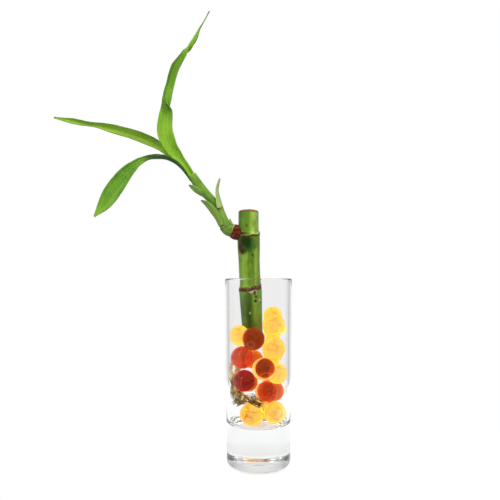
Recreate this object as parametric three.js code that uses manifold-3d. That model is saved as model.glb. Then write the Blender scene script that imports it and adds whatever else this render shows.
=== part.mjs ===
// A lucky bamboo cutting in a tall clear glass: one cane with a side shoot, three leaves and a root tangle,
// held upright by round clear beads. Millimetres, +Z up, origin at the centre of the underside of the glass.
// The object is seen from the front along +Y, so -Y is towards the viewer and +X is to the right.

import * as THREE from 'three';
import { mergeVertices } from 'three/addons/utils/BufferGeometryUtils.js';
import Module from 'manifold-3d';

const wasm = await Module();
wasm.setup();

// Clearance left between pieces that touch on the real plant
const GAP = 0.3;

// Glass
const GLASS_HEIGHT = 110;
const RIM_RADIUS = 20;
const BASE_RADIUS = 19;
const WALL = 1.9;
const HEEL_RADIUS = 3;
const FLOOR_HEIGHT = 24.5;
const FLOOR_FILLET = 3;
const GLASS_SIDES = 48;

// Cane
const CANE_BOTTOM = 69.6;
const CANE_TOP = 150.9;
const CANE_TOP_X = -6;
const CANE_TOP_Y = 2.8;
const CANE_CURVE = 0.00046;
const CANE_LEAN = 0.095;
const CANE_SIDES = 24;
const CANE_CHAMFER = 0.7;
const RING_WIDTH = 0.9;

// Plant skin
const BLADE_THICKNESS = 0.7;
const BRACT_THICKNESS = 0.6;
const MIDRIB_SHARE = 0.22;
const WAVE_FULL_WIDTH = 6;
const BLADE_SPLITS = [-1, -0.62, -0.24, 0, 0.24, 0.62, 1];
const BRACT_SPLITS = [-1, -0.5, 0, 0.5, 1];
const SHOOT_SIDES = 14;

// Roots
const ROOT_SIDES = 5;
const ROOT_STEP = 2.8;
const ROOT_CLEARANCE = GAP + 0.12;
const CROWN_RADIUS = 5.2;
const CROWN_THICKNESS = 2.0;
const CROWN_BOTTOM = CANE_BOTTOM - GAP - CROWN_THICKNESS;

const DEGREE = Math.PI / 180;
const LOOKS = {
  glass: { color: '#f4f7f6', roughness: 0.02, metalness: 0, transparent: true, opacity: 0.35 },
  cane: { color: '#6f9530', roughness: 0.42, metalness: 0 },
  collar: { color: '#5e2413', roughness: 0.8, metalness: 0 },
  shoot: { color: '#82a843', roughness: 0.45, metalness: 0 },
  leaf: { color: '#78a22f', roughness: 0.4, metalness: 0 },
  bract: { color: '#9dbb62', roughness: 0.5, metalness: 0 },
  root: { color: '#7a4a1f', roughness: 0.7, metalness: 0 },
  yellow: { color: '#ffcf55', roughness: 0.06, metalness: 0 },
  orange: { color: '#e58a2a', roughness: 0.06, metalness: 0 },
  amber: { color: '#a5310f', roughness: 0.06, metalness: 0 },
};

// Small tools for shapes

// Joins vertices that coincide and drops the empty triangles that a pole leaves
function weld(geometry) {
  geometry.deleteAttribute('normal');
  geometry.deleteAttribute('uv');
  const joined = mergeVertices(geometry, 1e-4);
  const corners = joined.index.array;
  const kept = [];
  for (let i = 0; i < corners.length; i += 3) {
    const [a, b, c] = [corners[i], corners[i + 1], corners[i + 2]];
    if (a !== b && b !== c && c !== a) kept.push(a, b, c);
  }
  joined.setIndex(kept);
  return joined;
}

// Moves every vertex of a geometry by a rule
function reshape(geometry, rule) {
  const places = geometry.attributes.position;
  const vertex = new THREE.Vector3();
  for (let i = 0; i < places.count; i += 1) {
    vertex.fromBufferAttribute(places, i);
    const moved = rule(vertex);
    places.setXYZ(i, moved.x, moved.y, moved.z);
  }
  return geometry;
}

function toSolid(geometry) {
  const vertProperties = new Float32Array(geometry.attributes.position.array);
  const triVerts = new Uint32Array(geometry.index.array);
  return new wasm.Manifold(new wasm.Mesh({ numProp: 3, vertProperties, triVerts }));
}

function fromSolid(solid) {
  const mesh = solid.getMesh();
  const geometry = new THREE.BufferGeometry();
  geometry.setAttribute('position', new THREE.BufferAttribute(new Float32Array(mesh.vertProperties), 3));
  geometry.setIndex(new THREE.BufferAttribute(new Uint32Array(mesh.triVerts), 1));
  return geometry;
}

function addPiece(group, name, geometry, look) {
  geometry.computeVertexNormals();
  const mesh = new THREE.Mesh(geometry, new THREE.MeshStandardMaterial(look));
  mesh.name = name;
  group.add(mesh);
}

// Points of an arc in the plane of a lathe profile, angles in degrees from the outward direction
function arc(centreRadius, centreHeight, radius, from, to, steps) {
  const points = [];
  for (let i = 0; i <= steps; i += 1) {
    const angle = (from + ((to - from) * i) / steps) * DEGREE;
    const across = centreRadius + radius * Math.cos(angle);
    points.push(new THREE.Vector2(across, centreHeight + radius * Math.sin(angle)));
  }
  return points;
}

// Straight-line interpolation in a list of [at, value] pairs
function along(pairs, at) {
  let i = 1;
  while (i < pairs.length - 1 && pairs[i][0] < at) i += 1;
  const [start, end] = [pairs[i - 1], pairs[i]];
  const share = THREE.MathUtils.clamp((at - start[0]) / (end[0] - start[0]), 0, 1);
  return THREE.MathUtils.lerp(start[1], end[1], share);
}

// A smooth curve through three chosen columns of a list of stations
function curveThrough(stations, first) {
  const points = stations.map((row) => new THREE.Vector3(row[first], row[first + 1], row[first + 2]));
  return new THREE.CatmullRomCurve3(points, false, 'catmullrom', 0.5);
}

// Point, direction, front (towards the viewer) and side of a curve, the last three square to each other
function frameAt(curve, t) {
  const point = curve.getPoint(t);
  const tangent = curve.getTangent(t);
  const front = new THREE.Vector3(0, -1, 0);
  front.addScaledVector(tangent, -front.dot(tangent)).normalize();
  const side = new THREE.Vector3().crossVectors(tangent, front);
  return { point, tangent, front, side };
}

// A closed round bar: a cylinder whose rings lie at the given levels and whose vertices a rule puts in place.
// The rule gets the level, the two parts of the unit circle, and whether the vertex is on the skin.
function bar(levels, sides, rule) {
  const rings = levels.length - 1;
  const cylinder = weld(new THREE.CylinderGeometry(1, 1, 1, sides, rings));
  return reshape(cylinder, (v) => rule(levels[Math.round((v.y + 0.5) * rings)], v.x, v.z));
}

// A round bar bent along stations of [x, y, z, radius], with extra thickness given by a rule of t
function stalk(stations, sides, ringsPerStation, extra = () => 0) {
  const path = curveThrough(stations, 0);
  const last = stations.length - 1;
  const radii = stations.map((row, i) => [i / last, row[3]]);
  const levels = [];
  for (let i = 0; i <= last * ringsPerStation; i += 1) levels.push(i / (last * ringsPerStation));
  return bar(levels, sides, (t, x, z) => {
    const { point, front, side } = frameAt(path, t);
    const radius = along(radii, t) + extra(t);
    return point.addScaledVector(side, x * radius).addScaledVector(front, z * radius);
  });
}

// Half a leaf section from its midrib to v, as [across, depth]: it turns through the fold close to the midrib,
// and through the curl evenly out to its margin at v = 1. Angles in radians.
function section(v, width, curl, fold) {
  const steps = 8;
  const stride = (v * width) / 2 / steps;
  let [across, depth] = [0, 0];
  for (let k = 0; k < steps; k += 1) {
    const u = (v * (k + 0.5)) / steps;
    const heading = (u * curl) / 2 + (THREE.MathUtils.clamp(u / MIDRIB_SHARE, -1, 1) * fold) / 2;
    across += Math.cos(heading) * stride;
    depth += Math.sin(heading) * stride;
  }
  return [across, depth];
}

// A leaf blade of even thickness. Stations are [x, y, z, width, roll, curl, fold]: the middle of the section, its
// width along the surface, the turn of its upper face away from the viewer, and the two bends of its section.
function blade(stations, { rows, splits, thickness, waves, waveHeight }) {
  const path = curveThrough(stations, 0);
  const sizes = curveThrough(stations, 3);
  const folds = stations.map((row, i) => [i / (stations.length - 1), row[6]]);
  const surface = (t, v) => {
    const { point, front, side } = frameAt(path, t);
    const size = sizes.getPoint(t);
    const width = Math.max(size.x, thickness);
    const roll = size.y * DEGREE;
    const bends = [Math.max(size.z, 0) * DEGREE, along(folds, t) * DEGREE];
    const upper = front.clone().multiplyScalar(Math.cos(roll)).addScaledVector(side, Math.sin(roll));
    const right = side.clone().multiplyScalar(Math.cos(roll)).addScaledVector(front, -Math.sin(roll));
    const [across, depth] = section(v, width, ...bends);
    const middle = section(1, width, ...bends)[1] / 2;
    const fade = Math.min(1, width / WAVE_FULL_WIDTH) * Math.sin(t * Math.PI);
    const wave = waveHeight * fade * v * v * Math.sin(waves * t * 2 * Math.PI + v);
    return point.addScaledVector(right, across).addScaledVector(upper, depth - middle + wave);
  };
  const normalAt = (t, v) => {
    const [nearT, nearV] = [0.002, 0.02];
    const lengthwise = surface(Math.min(t + nearT, 1), v).sub(surface(Math.max(t - nearT, 0), v));
    const crosswise = surface(t, v + nearV).sub(surface(t, v - nearV));
    return crosswise.cross(lengthwise).normalize();
  };
  const places = [];
  for (const face of [-0.5, 0.5]) {
    for (let i = 0; i <= rows; i += 1) {
      for (const v of splits) {
        places.push(...surface(i / rows, v).addScaledVector(normalAt(i / rows, v), face * thickness));
      }
    }
  }
  const geometry = new THREE.BufferGeometry();
  geometry.setAttribute('position', new THREE.Float32BufferAttribute(places, 3));
  geometry.setIndex(slabFaces(rows, splits.length - 1));
  return geometry;
}

// Triangles of a slab of two like grids, lower grid first, with both faces cut by the same diagonals
function slabFaces(rows, columns) {
  const faces = [];
  const row = columns + 1;
  const upper = (rows + 1) * row;
  const quad = (a, b, c, d) => faces.push(a, b, c, a, c, d);
  for (let i = 0; i < rows; i += 1) {
    for (let j = 0; j < columns; j += 1) {
      const [a, b, c, d] = [i * row + j, i * row + j + 1, (i + 1) * row + j + 1, (i + 1) * row + j];
      quad(upper + a, upper + b, upper + c, upper + d);
      faces.push(a, c, b, a, d, c);
    }
    const [left, right] = [i * row, i * row + columns];
    quad(right, right + row, upper + right + row, upper + right);
    quad(left, upper + left, upper + left + row, left + row);
  }
  const end = rows * row;
  for (let j = 0; j < columns; j += 1) {
    quad(j, j + 1, upper + j + 1, upper + j);
    quad(end + j, upper + end + j, upper + end + j + 1, end + j + 1);
  }
  return faces;
}

// Glass

const outerRadius = (z) => BASE_RADIUS + ((RIM_RADIUS - BASE_RADIUS) * z) / GLASS_HEIGHT;
const innerRadius = (z) => outerRadius(z) - WALL;

// One turned outline: flat underside, small heel, tapered wall, round lip, filleted floor
function makeGlass() {
  const lip = WALL / 2;
  const filletTop = FLOOR_HEIGHT + FLOOR_FILLET;
  const outline = [
    new THREE.Vector2(0, 0),
    ...arc(BASE_RADIUS - HEEL_RADIUS, HEEL_RADIUS, HEEL_RADIUS, -90, 0, 4),
    ...arc(RIM_RADIUS - lip, GLASS_HEIGHT - lip, lip, 0, 180, 6),
    ...arc(innerRadius(filletTop) - FLOOR_FILLET, filletTop, FLOOR_FILLET, 0, -90, 4),
    new THREE.Vector2(0, FLOOR_HEIGHT),
  ];
  const glass = new THREE.LatheGeometry(outline, GLASS_SIDES);
  return weld(glass).rotateX(Math.PI / 2);
}

// Cane

// The middle of the cane: it curves to the right going down, and leans back into the glass
function caneAxis(z) {
  const below = CANE_TOP - z;
  return new THREE.Vector3(CANE_TOP_X + CANE_CURVE * below ** 2, CANE_TOP_Y + CANE_LEAN * below, z);
}

const CANE_RADII = [
  [CANE_BOTTOM, 5.8], [CANE_BOTTOM + CANE_CHAMFER, 6.3], [80, 6.45], [92, 6.8], [101, 7.1], [103.6, 7.1],
  [105.6, 6.5], [112, 6.45], [121, 6.45], [129, 6.8], [136, 6.85], [138, 6.15], [CANE_TOP - CANE_CHAMFER, 6.1], [CANE_TOP, 5.5],
];
const RING_LEVELS = [-2.4, -1.6, -0.8, 0, 0.8, 1.6, 2.6];
const UPPER_RING = { height: 137, slant: 0, dip: 0.6, proud: 0.55 };
const LOWER_RING = { height: 104.2, slant: 0.8, dip: 0.2, proud: 0.45 };

// How far a leaf scar stands proud at a height, with the scar slanted across, dipped in front and a little ragged
function scar(ring, z, x, y) {
  const turn = Math.atan2(y, x);
  const ragged = 0.25 * Math.sin(5 * turn + 1) + 0.15 * Math.sin(9 * turn);
  const level = ring.height + ring.slant * x + ring.dip * y + ragged;
  return ring.proud * Math.exp(-(((z - level) / RING_WIDTH) ** 2));
}

function makeCane(grown = 0) {
  const ends = [CANE_BOTTOM, CANE_BOTTOM + CANE_CHAMFER, CANE_TOP - CANE_CHAMFER, CANE_TOP];
  const plain = [75, 80, 86, 92, 97, 110, 117, 124, 130, 142.5, 146];
  const ringed = [LOWER_RING, UPPER_RING].flatMap((ring) => RING_LEVELS.map((step) => ring.height + step));
  const levels = [...ends, ...plain, ...ringed].sort((a, b) => a - b);
  return bar(levels, CANE_SIDES, (z, x, depth) => {
    const y = -depth;
    const radius = along(CANE_RADII, z) + scar(UPPER_RING, z, x, y) + scar(LOWER_RING, z, x, y) + grown;
    const centre = caneAxis(z);
    const end = grown * (Number(z === CANE_TOP) - Number(z === CANE_BOTTOM));
    return centre.add(new THREE.Vector3(x * radius, y * radius, end));
  });
}

// Side shoot with its collar

const SHOOT = [
  [-15.7, 2.9, 138.9, 4.05],
  [-18.5, 2.6, 140.1, 4.0],
  [-20.5, 2.4, 143.2, 3.4],
  [-22.0, 2.0, 147.6, 2.7],
  [-23.7, 1.5, 152.4, 2.1],
  [-28.0, 1.0, 157.2, 2.5],
  [-32.4, 0.5, 161.8, 2.75],
  [-36.6, 0.1, 167.1, 2.85],
  [-39.7, 0, 171.7, 2.45],
];

const SHOOT_FLAP = [
  [-16.5, 1.8, 140.5, 1.1],
  [-16.4, 1.4, 143.0, 0.9],
  [-17.2, 1.1, 145.9, 0.35],
];

// Nodes of the shoot, each a low ring at a share of its length
const SHOOT_NODES = [{ at: 0.19, proud: 0.3 }, { at: 0.47, proud: 0.22 }];
const SHOOT_NODE_WIDTH = 0.02;

function makeShoot(grown = 0) {
  const swelling = (t) => SHOOT_NODES.reduce(
    (sum, { at, proud }) => sum + proud * Math.exp(-(((t - at) / SHOOT_NODE_WIDTH) ** 2)), grown);
  return stalk(SHOOT, SHOOT_SIDES, 4, swelling);
}

// The shoot with the small dry flap that points up beside the cane
function makeShootWithFlap() {
  const flap = stalk(SHOOT_FLAP, 8, 2);
  return fromSolid(toSolid(makeShoot()).add(toSolid(flap)));
}

// A scale leaf or leaf foot where it presses on the shoot: what would touch is cut away, scraps are dropped
function clearOfShoot(geometry) {
  const pieces = toSolid(geometry).subtract(toSolid(makeShoot(GAP))).decompose();
  pieces.sort((a, b) => b.volume() - a.volume());
  return fromSolid(pieces[0]);
}

// The dry collar runs straight back from the foot of the shoot, widens to the cane, and is cut to the cane's round
const COLLAR = [[7, 5.2], [3.3, 4.6], [GAP, 4.2]];

function makeCollar() {
  const foot = frameAt(curveThrough(SHOOT, 0), 0);
  const stations = COLLAR.map(([back, radius]) => {
    const place = foot.point.clone().addScaledVector(foot.tangent, -back);
    return [place.x, place.y, place.z, radius];
  });
  return fromSolid(toSolid(stalk(stations, 16, 3)).subtract(toSolid(makeCane(GAP))));
}

// Leaves, each from its foot at the mouth of the sheath to its tip

const LEAF_UPPER = [
  [-40.2, 1.0, 172.05, 4.1, 0, 150, 0],
  [-43.5, 1.4, 176.8, 4.8, 0, 130, 0],
  [-46.9, 1.8, 181.4, 6.2, 0, 110, 10],
  [-49.6, 2.0, 185.0, 7.8, 0, 90, 20],
  [-52.1, 1.8, 188.1, 9.0, 0, 70, 30],
  [-54.1, 1.5, 192.2, 10.0, 0, 50, 40],
  [-55.6, 1.5, 196.4, 10.5, 0, 45, 45],
  [-56.3, 2.0, 200.8, 10.8, 0, 50, 60],
  [-56.1, 3.0, 206.2, 11.4, -5, 55, 80],
  [-55.8, 3.8, 210.6, 11.8, -25, 45, 110],
  [-56.0, 4.6, 215.0, 11.8, -62, 35, 130],
  [-55.6, 5.6, 220.6, 12.0, -85, 25, 140],
  [-54.7, 7.0, 226.7, 11.6, -88, 25, 140],
  [-53.5, 7.5, 231.2, 10.6, -90, 25, 145],
  [-52.3, 8.0, 235.6, 9.9, -85, 25, 140],
  [-50.9, 8.5, 240.1, 9.9, -82, 25, 140],
  [-48.7, 9.0, 244.4, 9.2, -82, 25, 140],
  [-46.2, 9.5, 248.4, 7.4, -100, 20, 140],
  [-44.0, 10.0, 251.8, 6.0, -165, 20, 130],
  [-42.0, 10.2, 254.4, 6.0, -225, 20, 110],
  [-40.0, 10.5, 257.6, 5.8, -255, 20, 100],
  [-38.1, 11.0, 261.5, 4.7, -265, 20, 90],
  [-36.3, 11.5, 266.0, 2.4, -265, 20, 60],
  [-33.8, 12.2, 270.6, 1.1, -265, 10, 20],
  [-30.5, 13.0, 277.3, 0.8, -265, 5, 0],
];

const LEAF_LEFT = [
  [-40.4, 2.1, 172.2, 4.4, 0, 100, 0],
  [-43.4, 2.7, 177.0, 4.6, 0, 85, 0],
  [-46.8, 3.5, 181.1, 5.4, 4, 70, 5],
  [-51.3, 5.0, 184.5, 6.0, 14, 50, 15],
  [-55.4, 6.2, 187.6, 6.6, 22, 35, 25],
  [-60.0, 7.2, 190.7, 7.2, 28, 25, 35],
  [-65.0, 8.2, 193.5, 7.9, 30, 20, 40],
  [-70.9, 9.2, 196.1, 8.4, 30, 15, 45],
  [-77.3, 10.0, 198.6, 8.9, 30, 15, 45],
  [-83.6, 10.5, 200.7, 8.7, 31, 15, 45],
  [-90.2, 10.5, 202.5, 7.6, 32, 20, 45],
  [-96.2, 10.0, 203.8, 6.2, 34, 25, 45],
  [-101.8, 9.5, 204.7, 5.6, 38, 30, 50],
  [-106.4, 9.0, 205.3, 5.2, 36, 30, 50],
  [-110.4, 8.5, 206.1, 4.2, 24, 25, 35],
  [-114.5, 7.8, 206.8, 3.8, 16, 20, 25],
  [-118.6, 7.2, 207.4, 2.5, 12, 15, 20],
  [-121.8, 6.6, 207.9, 1.6, 10, 10, 10],
  [-124.9, 6.0, 208.3, 0.8, 10, 5, 0],
];

const LEAF_LOWER = [
  [-42.4, -0.9, 170.9, 3.3, 84, 90, 0],
  [-45.4, -1.6, 175.0, 3.8, 78, 100, 15],
  [-48.6, -2.1, 178.0, 4.1, 75, 90, 40],
  [-52.0, -2.6, 180.1, 4.4, 75, 80, 60],
  [-55.6, -3.2, 181.5, 4.8, 75, 70, 70],
  [-60.0, -4.0, 182.0, 5.5, 70, 60, 70],
  [-64.5, -5.0, 180.9, 6.8, 62, 45, 60],
  [-68.7, -6.5, 178.2, 8.9, 52, 30, 50],
  [-72.5, -8.0, 174.4, 11.4, 42, 25, 40],
  [-76.4, -9.0, 170.0, 13.3, 35, 20, 35],
  [-79.8, -10.0, 165.3, 14.2, 30, 20, 30],
  [-83.0, -11.0, 160.5, 13.9, 26, 18, 28],
  [-85.9, -12.0, 155.8, 12.2, 24, 15, 25],
  [-88.8, -12.5, 151.6, 8.6, 22, 15, 20],
  [-91.6, -12.9, 148.1, 4.2, 20, 10, 10],
  [-93.9, -13.0, 145.3, 0.8, 20, 5, 0],
];

// Scale leaves on the shoot

const BRACT_RIGHT = [
  [-22.5, 0.2, 152.4, 6.6, -130, 110, 0],
  [-23.8, -0.6, 157.2, 4.6, -130, 80, 0],
  [-24.6, -1.5, 162.3, 2.6, -130, 60, 0],
  [-23.9, -2.0, 166.4, 1.8, -130, 40, 0],
  [-22.9, -2.2, 169.4, 0.7, -130, 10, 0],
];

const BRACT_LEFT_LOW = [
  [-22.3, 0.2, 141.6, 5.4, 135, 85, 0],
  [-24.5, -0.3, 146.3, 6.0, 135, 95, 0],
  [-27.6, -0.9, 150.9, 5.8, 138, 80, 0],
  [-30.7, -1.4, 154.3, 4.2, 135, 60, 0],
  [-34.2, -1.8, 156.5, 0.7, 130, 10, 0],
];

const BRACT_LEFT_HIGH = [
  [-32.1, -0.6, 159.2, 2.8, 130, 50, 0],
  [-34.4, -0.9, 160.8, 4.0, 135, 70, 0],
  [-36.8, -1.1, 162.6, 4.6, 140, 70, 0],
  [-39.0, -1.2, 164.5, 4.0, 140, 50, 0],
  [-40.7, -1.2, 165.8, 2.0, 140, 10, 0],
];

// Beads

// Where each bead lies, as [x, y, z, radius, colour, ease]; ease is how readily it gives way when the pile settles
const BEAD_SEATS = [
  [-3.9, -9.7, 31.7, 6.9, 'yellow', 0.2],
  [8.9, -5.0, 31.3, 6.6, 'yellow', 0.6],
  [3.2, 10.2, 31.0, 6.3, 'orange', 0.6],
  [10.6, 5.2, 42.6, 6.3, 'orange', 1],
  [4.1, -9.8, 44.9, 6.5, 'amber', 0.2],
  [-5.6, 9.4, 46.8, 6.2, 'orange', 0.6],
  [10.6, 0.6, 54.6, 6.3, 'yellow', 1],
  [-8.2, -6.8, 50.6, 6.4, 'amber', 0.2],
  [4.0, 10.6, 53.0, 6.1, 'orange', 1],
  [2.9, -10.4, 58.3, 6.6, 'amber', 0.1],
  [9.4, 6.6, 63.6, 6.3, 'yellow', 0.6],
  [-9.6, -5.0, 63.8, 6.7, 'amber', 0.2],
  [-1.6, 4.6, 60.9, 5.8, 'orange', 0.4],
  [8.0, -7.2, 69.3, 6.6, 'yellow', 0.3],
  [9.4, 7.0, 75.6, 5.2, 'yellow', 1],
  [-3.9, -9.9, 75.4, 6.6, 'amber', 0.1],
  [-11.6, 0.6, 75.0, 6.2, 'yellow', 0.8],
  [8.6, -6.2, 82.4, 6.5, 'yellow', 0.2],
  [14.2, 2.2, 80.2, 3.4, 'yellow', 0.6],
  [9.2, 5.8, 86.8, 5.9, 'yellow', 0.3],
];
const SETTLE_ROUNDS = 900;

// Nearest point of the cane, cut off at a lowest height, to a place in the glass
function nearestOnCane(place, bottom) {
  const level = Math.max(place.z, bottom);
  const middle = caneAxis(level);
  const reach = along(CANE_RADII, level);
  const across = new THREE.Vector3(place.x - middle.x, place.y - middle.y, 0);
  if (across.length() > reach || place.z > bottom) across.setLength(reach);
  return middle.add(across);
}

// Keeps a ball inside the glass and clear of the cane above a lowest height
function keepInside(centre, radius, clearance, caneBottom) {
  const room = innerRadius(centre.z) - radius - clearance;
  const reach = Math.hypot(centre.x, centre.y);
  if (reach > room) {
    centre.x *= room / reach;
    centre.y *= room / reach;
  }
  centre.z = Math.max(centre.z, FLOOR_HEIGHT + radius + clearance);
  const away = centre.clone().sub(nearestOnCane(centre, caneBottom));
  const apart = radius + clearance - away.length();
  if (apart > 0) centre.addScaledVector(away.normalize(), apart);
}

// Lets the beads push each other apart until each has its clearance
function settleBeads() {
  const beads = BEAD_SEATS.map(([x, y, z, radius, colour, ease]) => ({
    centre: new THREE.Vector3(x, y, z), radius, colour, ease,
  }));
  for (let round = 0; round < SETTLE_ROUNDS; round += 1) {
    beads.forEach((bead, i) => {
      for (const other of beads.slice(i + 1)) {
        const away = bead.centre.clone().sub(other.centre);
        const apart = bead.radius + other.radius + GAP - away.length();
        if (apart > 0) {
          away.normalize();
          const share = bead.ease / (bead.ease + other.ease);
          bead.centre.addScaledVector(away, apart * share);
          other.centre.addScaledVector(away, -apart * (1 - share));
        }
      }
      keepInside(bead.centre, bead.radius, GAP, CROWN_BOTTOM);
    });
  }
  return beads;
}

const BEADS = settleBeads();

// Roots

// Guides of the root strands as [x, y, z] from the crown under the cane, with the radius of each strand at its start
const ROOT_GUIDES = [
  { radius: 0.85, points: [[-5, 8.5, 67.6], [-11.5, 8.5, 65.5], [-15.6, 3, 61], [-16.6, -2, 54], [-14.9, -6.5, 47],
    [-11, -9.5, 41.5], [-5, -12, 40.5], [1, -13.5, 38]] },
  { radius: 0.8, points: [[-5.4, 7.5, 67.6], [-12.5, 5.5, 66], [-16.6, -1.5, 60], [-15.8, -5.5, 52], [-13.5, -8, 45],
    [-9, -8.5, 42.5], [-3, -6, 41], [4, -4, 38.5]] },
  { radius: 0.85, points: [[-4.2, 10, 67.6], [-10, 11.5, 62], [-14, 7.5, 54], [-15, 1, 46], [-12.5, -5.5, 40.5],
    [-7.5, -9.5, 39.8], [-3, -11, 41], [2, -14.5, 39]] },
  { radius: 0.75, points: [[-4.5, 9.5, 67.6], [-12.5, 9, 58], [-13, 4, 49], [-10.5, -1, 42], [-5, -4, 38],
    [0, -3, 38.5], [1.5, 3, 37.5]] },
  { radius: 0.75, points: [[-5.8, 8, 67.6], [-13.5, 7, 60], [-14, 3, 50], [-12, -3, 43.5], [-8, -5, 37.5],
    [-11.5, -7.5, 36.8], [-13.5, -5, 38.5]] },
  { radius: 0.7, points: [[-5, 9.8, 67.6], [-11, 11, 56], [-14.6, 5, 46], [-15.6, -3, 41.5], [-12.5, -9, 39],
    [-8, -13, 40.5], [-4, -14.8, 42.5], [-1.5, -14, 38.6]] },
  { radius: 0.7, points: [[-5.8, 7.4, 67.6], [-14, 3.5, 63], [-17, -3.5, 54], [-15.2, -8.5, 47], [-12.8, -11.5, 42.5],
    [-10, -12.6, 38.5], [-12.6, -9, 36.8]] },
];
const ROOT_ROUNDS = 90;
const ROOT_WANDER = 0.8;

// A side root leaves its strand at a share of the strand's length, as [strand, share, x, y, z]: it ends that far away
const SIDE_ROOTS = [
  [0, 0.62, -3.2, 1.5, -4.5], [0, 0.7, 2.5, -2, 4.2], [0, 0.8, 1, 2, -5], [1, 0.6, -3, -2, -5], [1, 0.74, -5, 1, -5],
  [2, 0.6, -3.4, -3, -3.2], [2, 0.72, -4.6, 0.5, -4], [2, 0.85, 3, 3, 3], [3, 0.6, 3.4, -4, 1], [3, 0.75, -6, -2, -2],
  [4, 0.55, -4, -3.6, 1.4], [4, 0.8, 4.2, -3, 2.4], [5, 0.55, 1.6, -4.6, -3], [5, 0.7, -4.2, 2, -3.4],
  [6, 0.5, 1, 2.8, -6], [6, 0.72, 4.5, 1.6, -1.8],
];
const SIDE_ROOT_RADIUS = 0.45;

// Bends a root round the beads and along the wall, while it keeps close to its guide and to its start
function layRoot(guide, radius, phase) {
  const count = Math.max(3, Math.round(guide.getLength() / ROOT_STEP));
  const home = guide.getSpacedPoints(count).map((point, i) => {
    const t = i / count;
    const sway = new THREE.Vector3(Math.sin(13 * t + 2.4 * phase), Math.sin(17 * t + phase), Math.sin(19 * t + 3 * phase));
    return point.addScaledVector(sway, ROOT_WANDER * Math.sin(t * Math.PI * 0.75));
  });
  const route = home.map((point) => point.clone());
  for (let round = 0; round < ROOT_ROUNDS; round += 1) {
    for (let i = 1; i < route.length; i += 1) {
      const middle = route[i - 1].clone().add(route[Math.min(i + 1, count)]).multiplyScalar(0.5);
      const easing = 1 - round / ROOT_ROUNDS;
      route[i].lerp(middle, i < count ? 0.2 * easing : 0).lerp(home[i], 0.15 * easing);
      for (const bead of BEADS) {
        const away = route[i].clone().sub(bead.centre);
        const apart = bead.radius + radius + ROOT_CLEARANCE - away.length();
        if (apart > 0) route[i].addScaledVector(away.normalize(), apart);
      }
      keepInside(route[i], radius, ROOT_CLEARANCE, CANE_BOTTOM);
    }
  }
  return route;
}

// A root as a bar that thins towards its tip
function rootBar(route, radius) {
  const thinning = 0.45;
  const stations = route.map(({ x, y, z }, i) => [x, y, z, radius * (1 - (thinning * i) / (route.length - 1))]);
  return toSolid(stalk(stations, ROOT_SIDES, 1));
}

// The crown lies under the cut end of the cane, and every strand grows out of it
function makeRoots() {
  const top = caneAxis(CANE_BOTTOM).setZ(CANE_BOTTOM - GAP);
  const crown = new THREE.SphereGeometry(1, 16, 8).rotateX(Math.PI / 2);
  reshape(crown, (v) => {
    const height = v.z > 0 ? 0 : v.z * CROWN_THICKNESS;
    return new THREE.Vector3(top.x + v.x * CROWN_RADIUS, top.y + v.y * CROWN_RADIUS, top.z + height);
  });
  let solid = toSolid(weld(crown));
  const strands = ROOT_GUIDES.map(({ radius, points }, i) => layRoot(curveThrough(points, 0), radius, i));
  strands.forEach((route, i) => {
    solid = solid.add(rootBar(route, ROOT_GUIDES[i].radius));
  });
  SIDE_ROOTS.forEach(([strand, share, x, y, z], i) => {
    const start = strands[strand][Math.round(share * (strands[strand].length - 1))];
    const end = start.clone().add(new THREE.Vector3(x, y, z));
    const sag = start.clone().lerp(end, 0.5).add(new THREE.Vector3(y, -x, 0).multiplyScalar(0.3));
    const guide = new THREE.CatmullRomCurve3([start.clone(), sag, end]);
    solid = solid.add(rootBar(layRoot(guide, SIDE_ROOT_RADIUS, i + 0.5), SIDE_ROOT_RADIUS));
  });
  return fromSolid(solid);
}

// The whole object

function makeLuckyBamboo() {
  const object = new THREE.Group();
  addPiece(object, 'glass', makeGlass(), LOOKS.glass);
  addPiece(object, 'cane', makeCane(), LOOKS.cane);
  addPiece(object, 'shoot_collar', makeCollar(), LOOKS.collar);
  addPiece(object, 'shoot', makeShootWithFlap(), LOOKS.shoot);
  const leaf = { splits: BLADE_SPLITS, thickness: BLADE_THICKNESS };
  addPiece(object, 'leaf_upper', blade(LEAF_UPPER, { ...leaf, rows: 56, waves: 5, waveHeight: 0.5 }), LOOKS.leaf);
  addPiece(object, 'leaf_left', blade(LEAF_LEFT, { ...leaf, rows: 42, waves: 5, waveHeight: 0.3 }), LOOKS.leaf);
  addPiece(object, 'leaf_lower', blade(LEAF_LOWER, { ...leaf, rows: 36, waves: 2, waveHeight: 0.5 }), LOOKS.leaf);
  const scale = { rows: 12, splits: BRACT_SPLITS, thickness: BRACT_THICKNESS, waves: 0, waveHeight: 0 };
  addPiece(object, 'bract_right', clearOfShoot(blade(BRACT_RIGHT, scale)), LOOKS.bract);
  addPiece(object, 'bract_left_low', clearOfShoot(blade(BRACT_LEFT_LOW, scale)), LOOKS.bract);
  addPiece(object, 'bract_left_high', clearOfShoot(blade(BRACT_LEFT_HIGH, scale)), LOOKS.bract);
  addPiece(object, 'roots', makeRoots(), LOOKS.root);
  BEADS.forEach((bead, i) => {
    const ball = weld(new THREE.IcosahedronGeometry(bead.radius, 2));
    ball.translate(bead.centre.x, bead.centre.y, bead.centre.z);
    addPiece(object, `bead_${String(i + 1).padStart(2, '0')}`, ball, LOOKS[bead.colour]);
  });
  return object;
}

export default makeLuckyBamboo();
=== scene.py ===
# %% [markdown]
# # A lucky bamboo cutting in a glass of water beads
#
# One green cane stands in a tall, narrow glass. A side shoot grows out of the cane and carries three
# leaves, and round clear beads, yellow to dark amber, hold the cane and its roots in place. The solid
# model gives every piece its place and size. Here each piece gets a finer skin and its real finish.
# The tables are in millimetres and Blender's own lengths in metres, +Z is up, and -Y points towards the
# viewer.

import math

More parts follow.
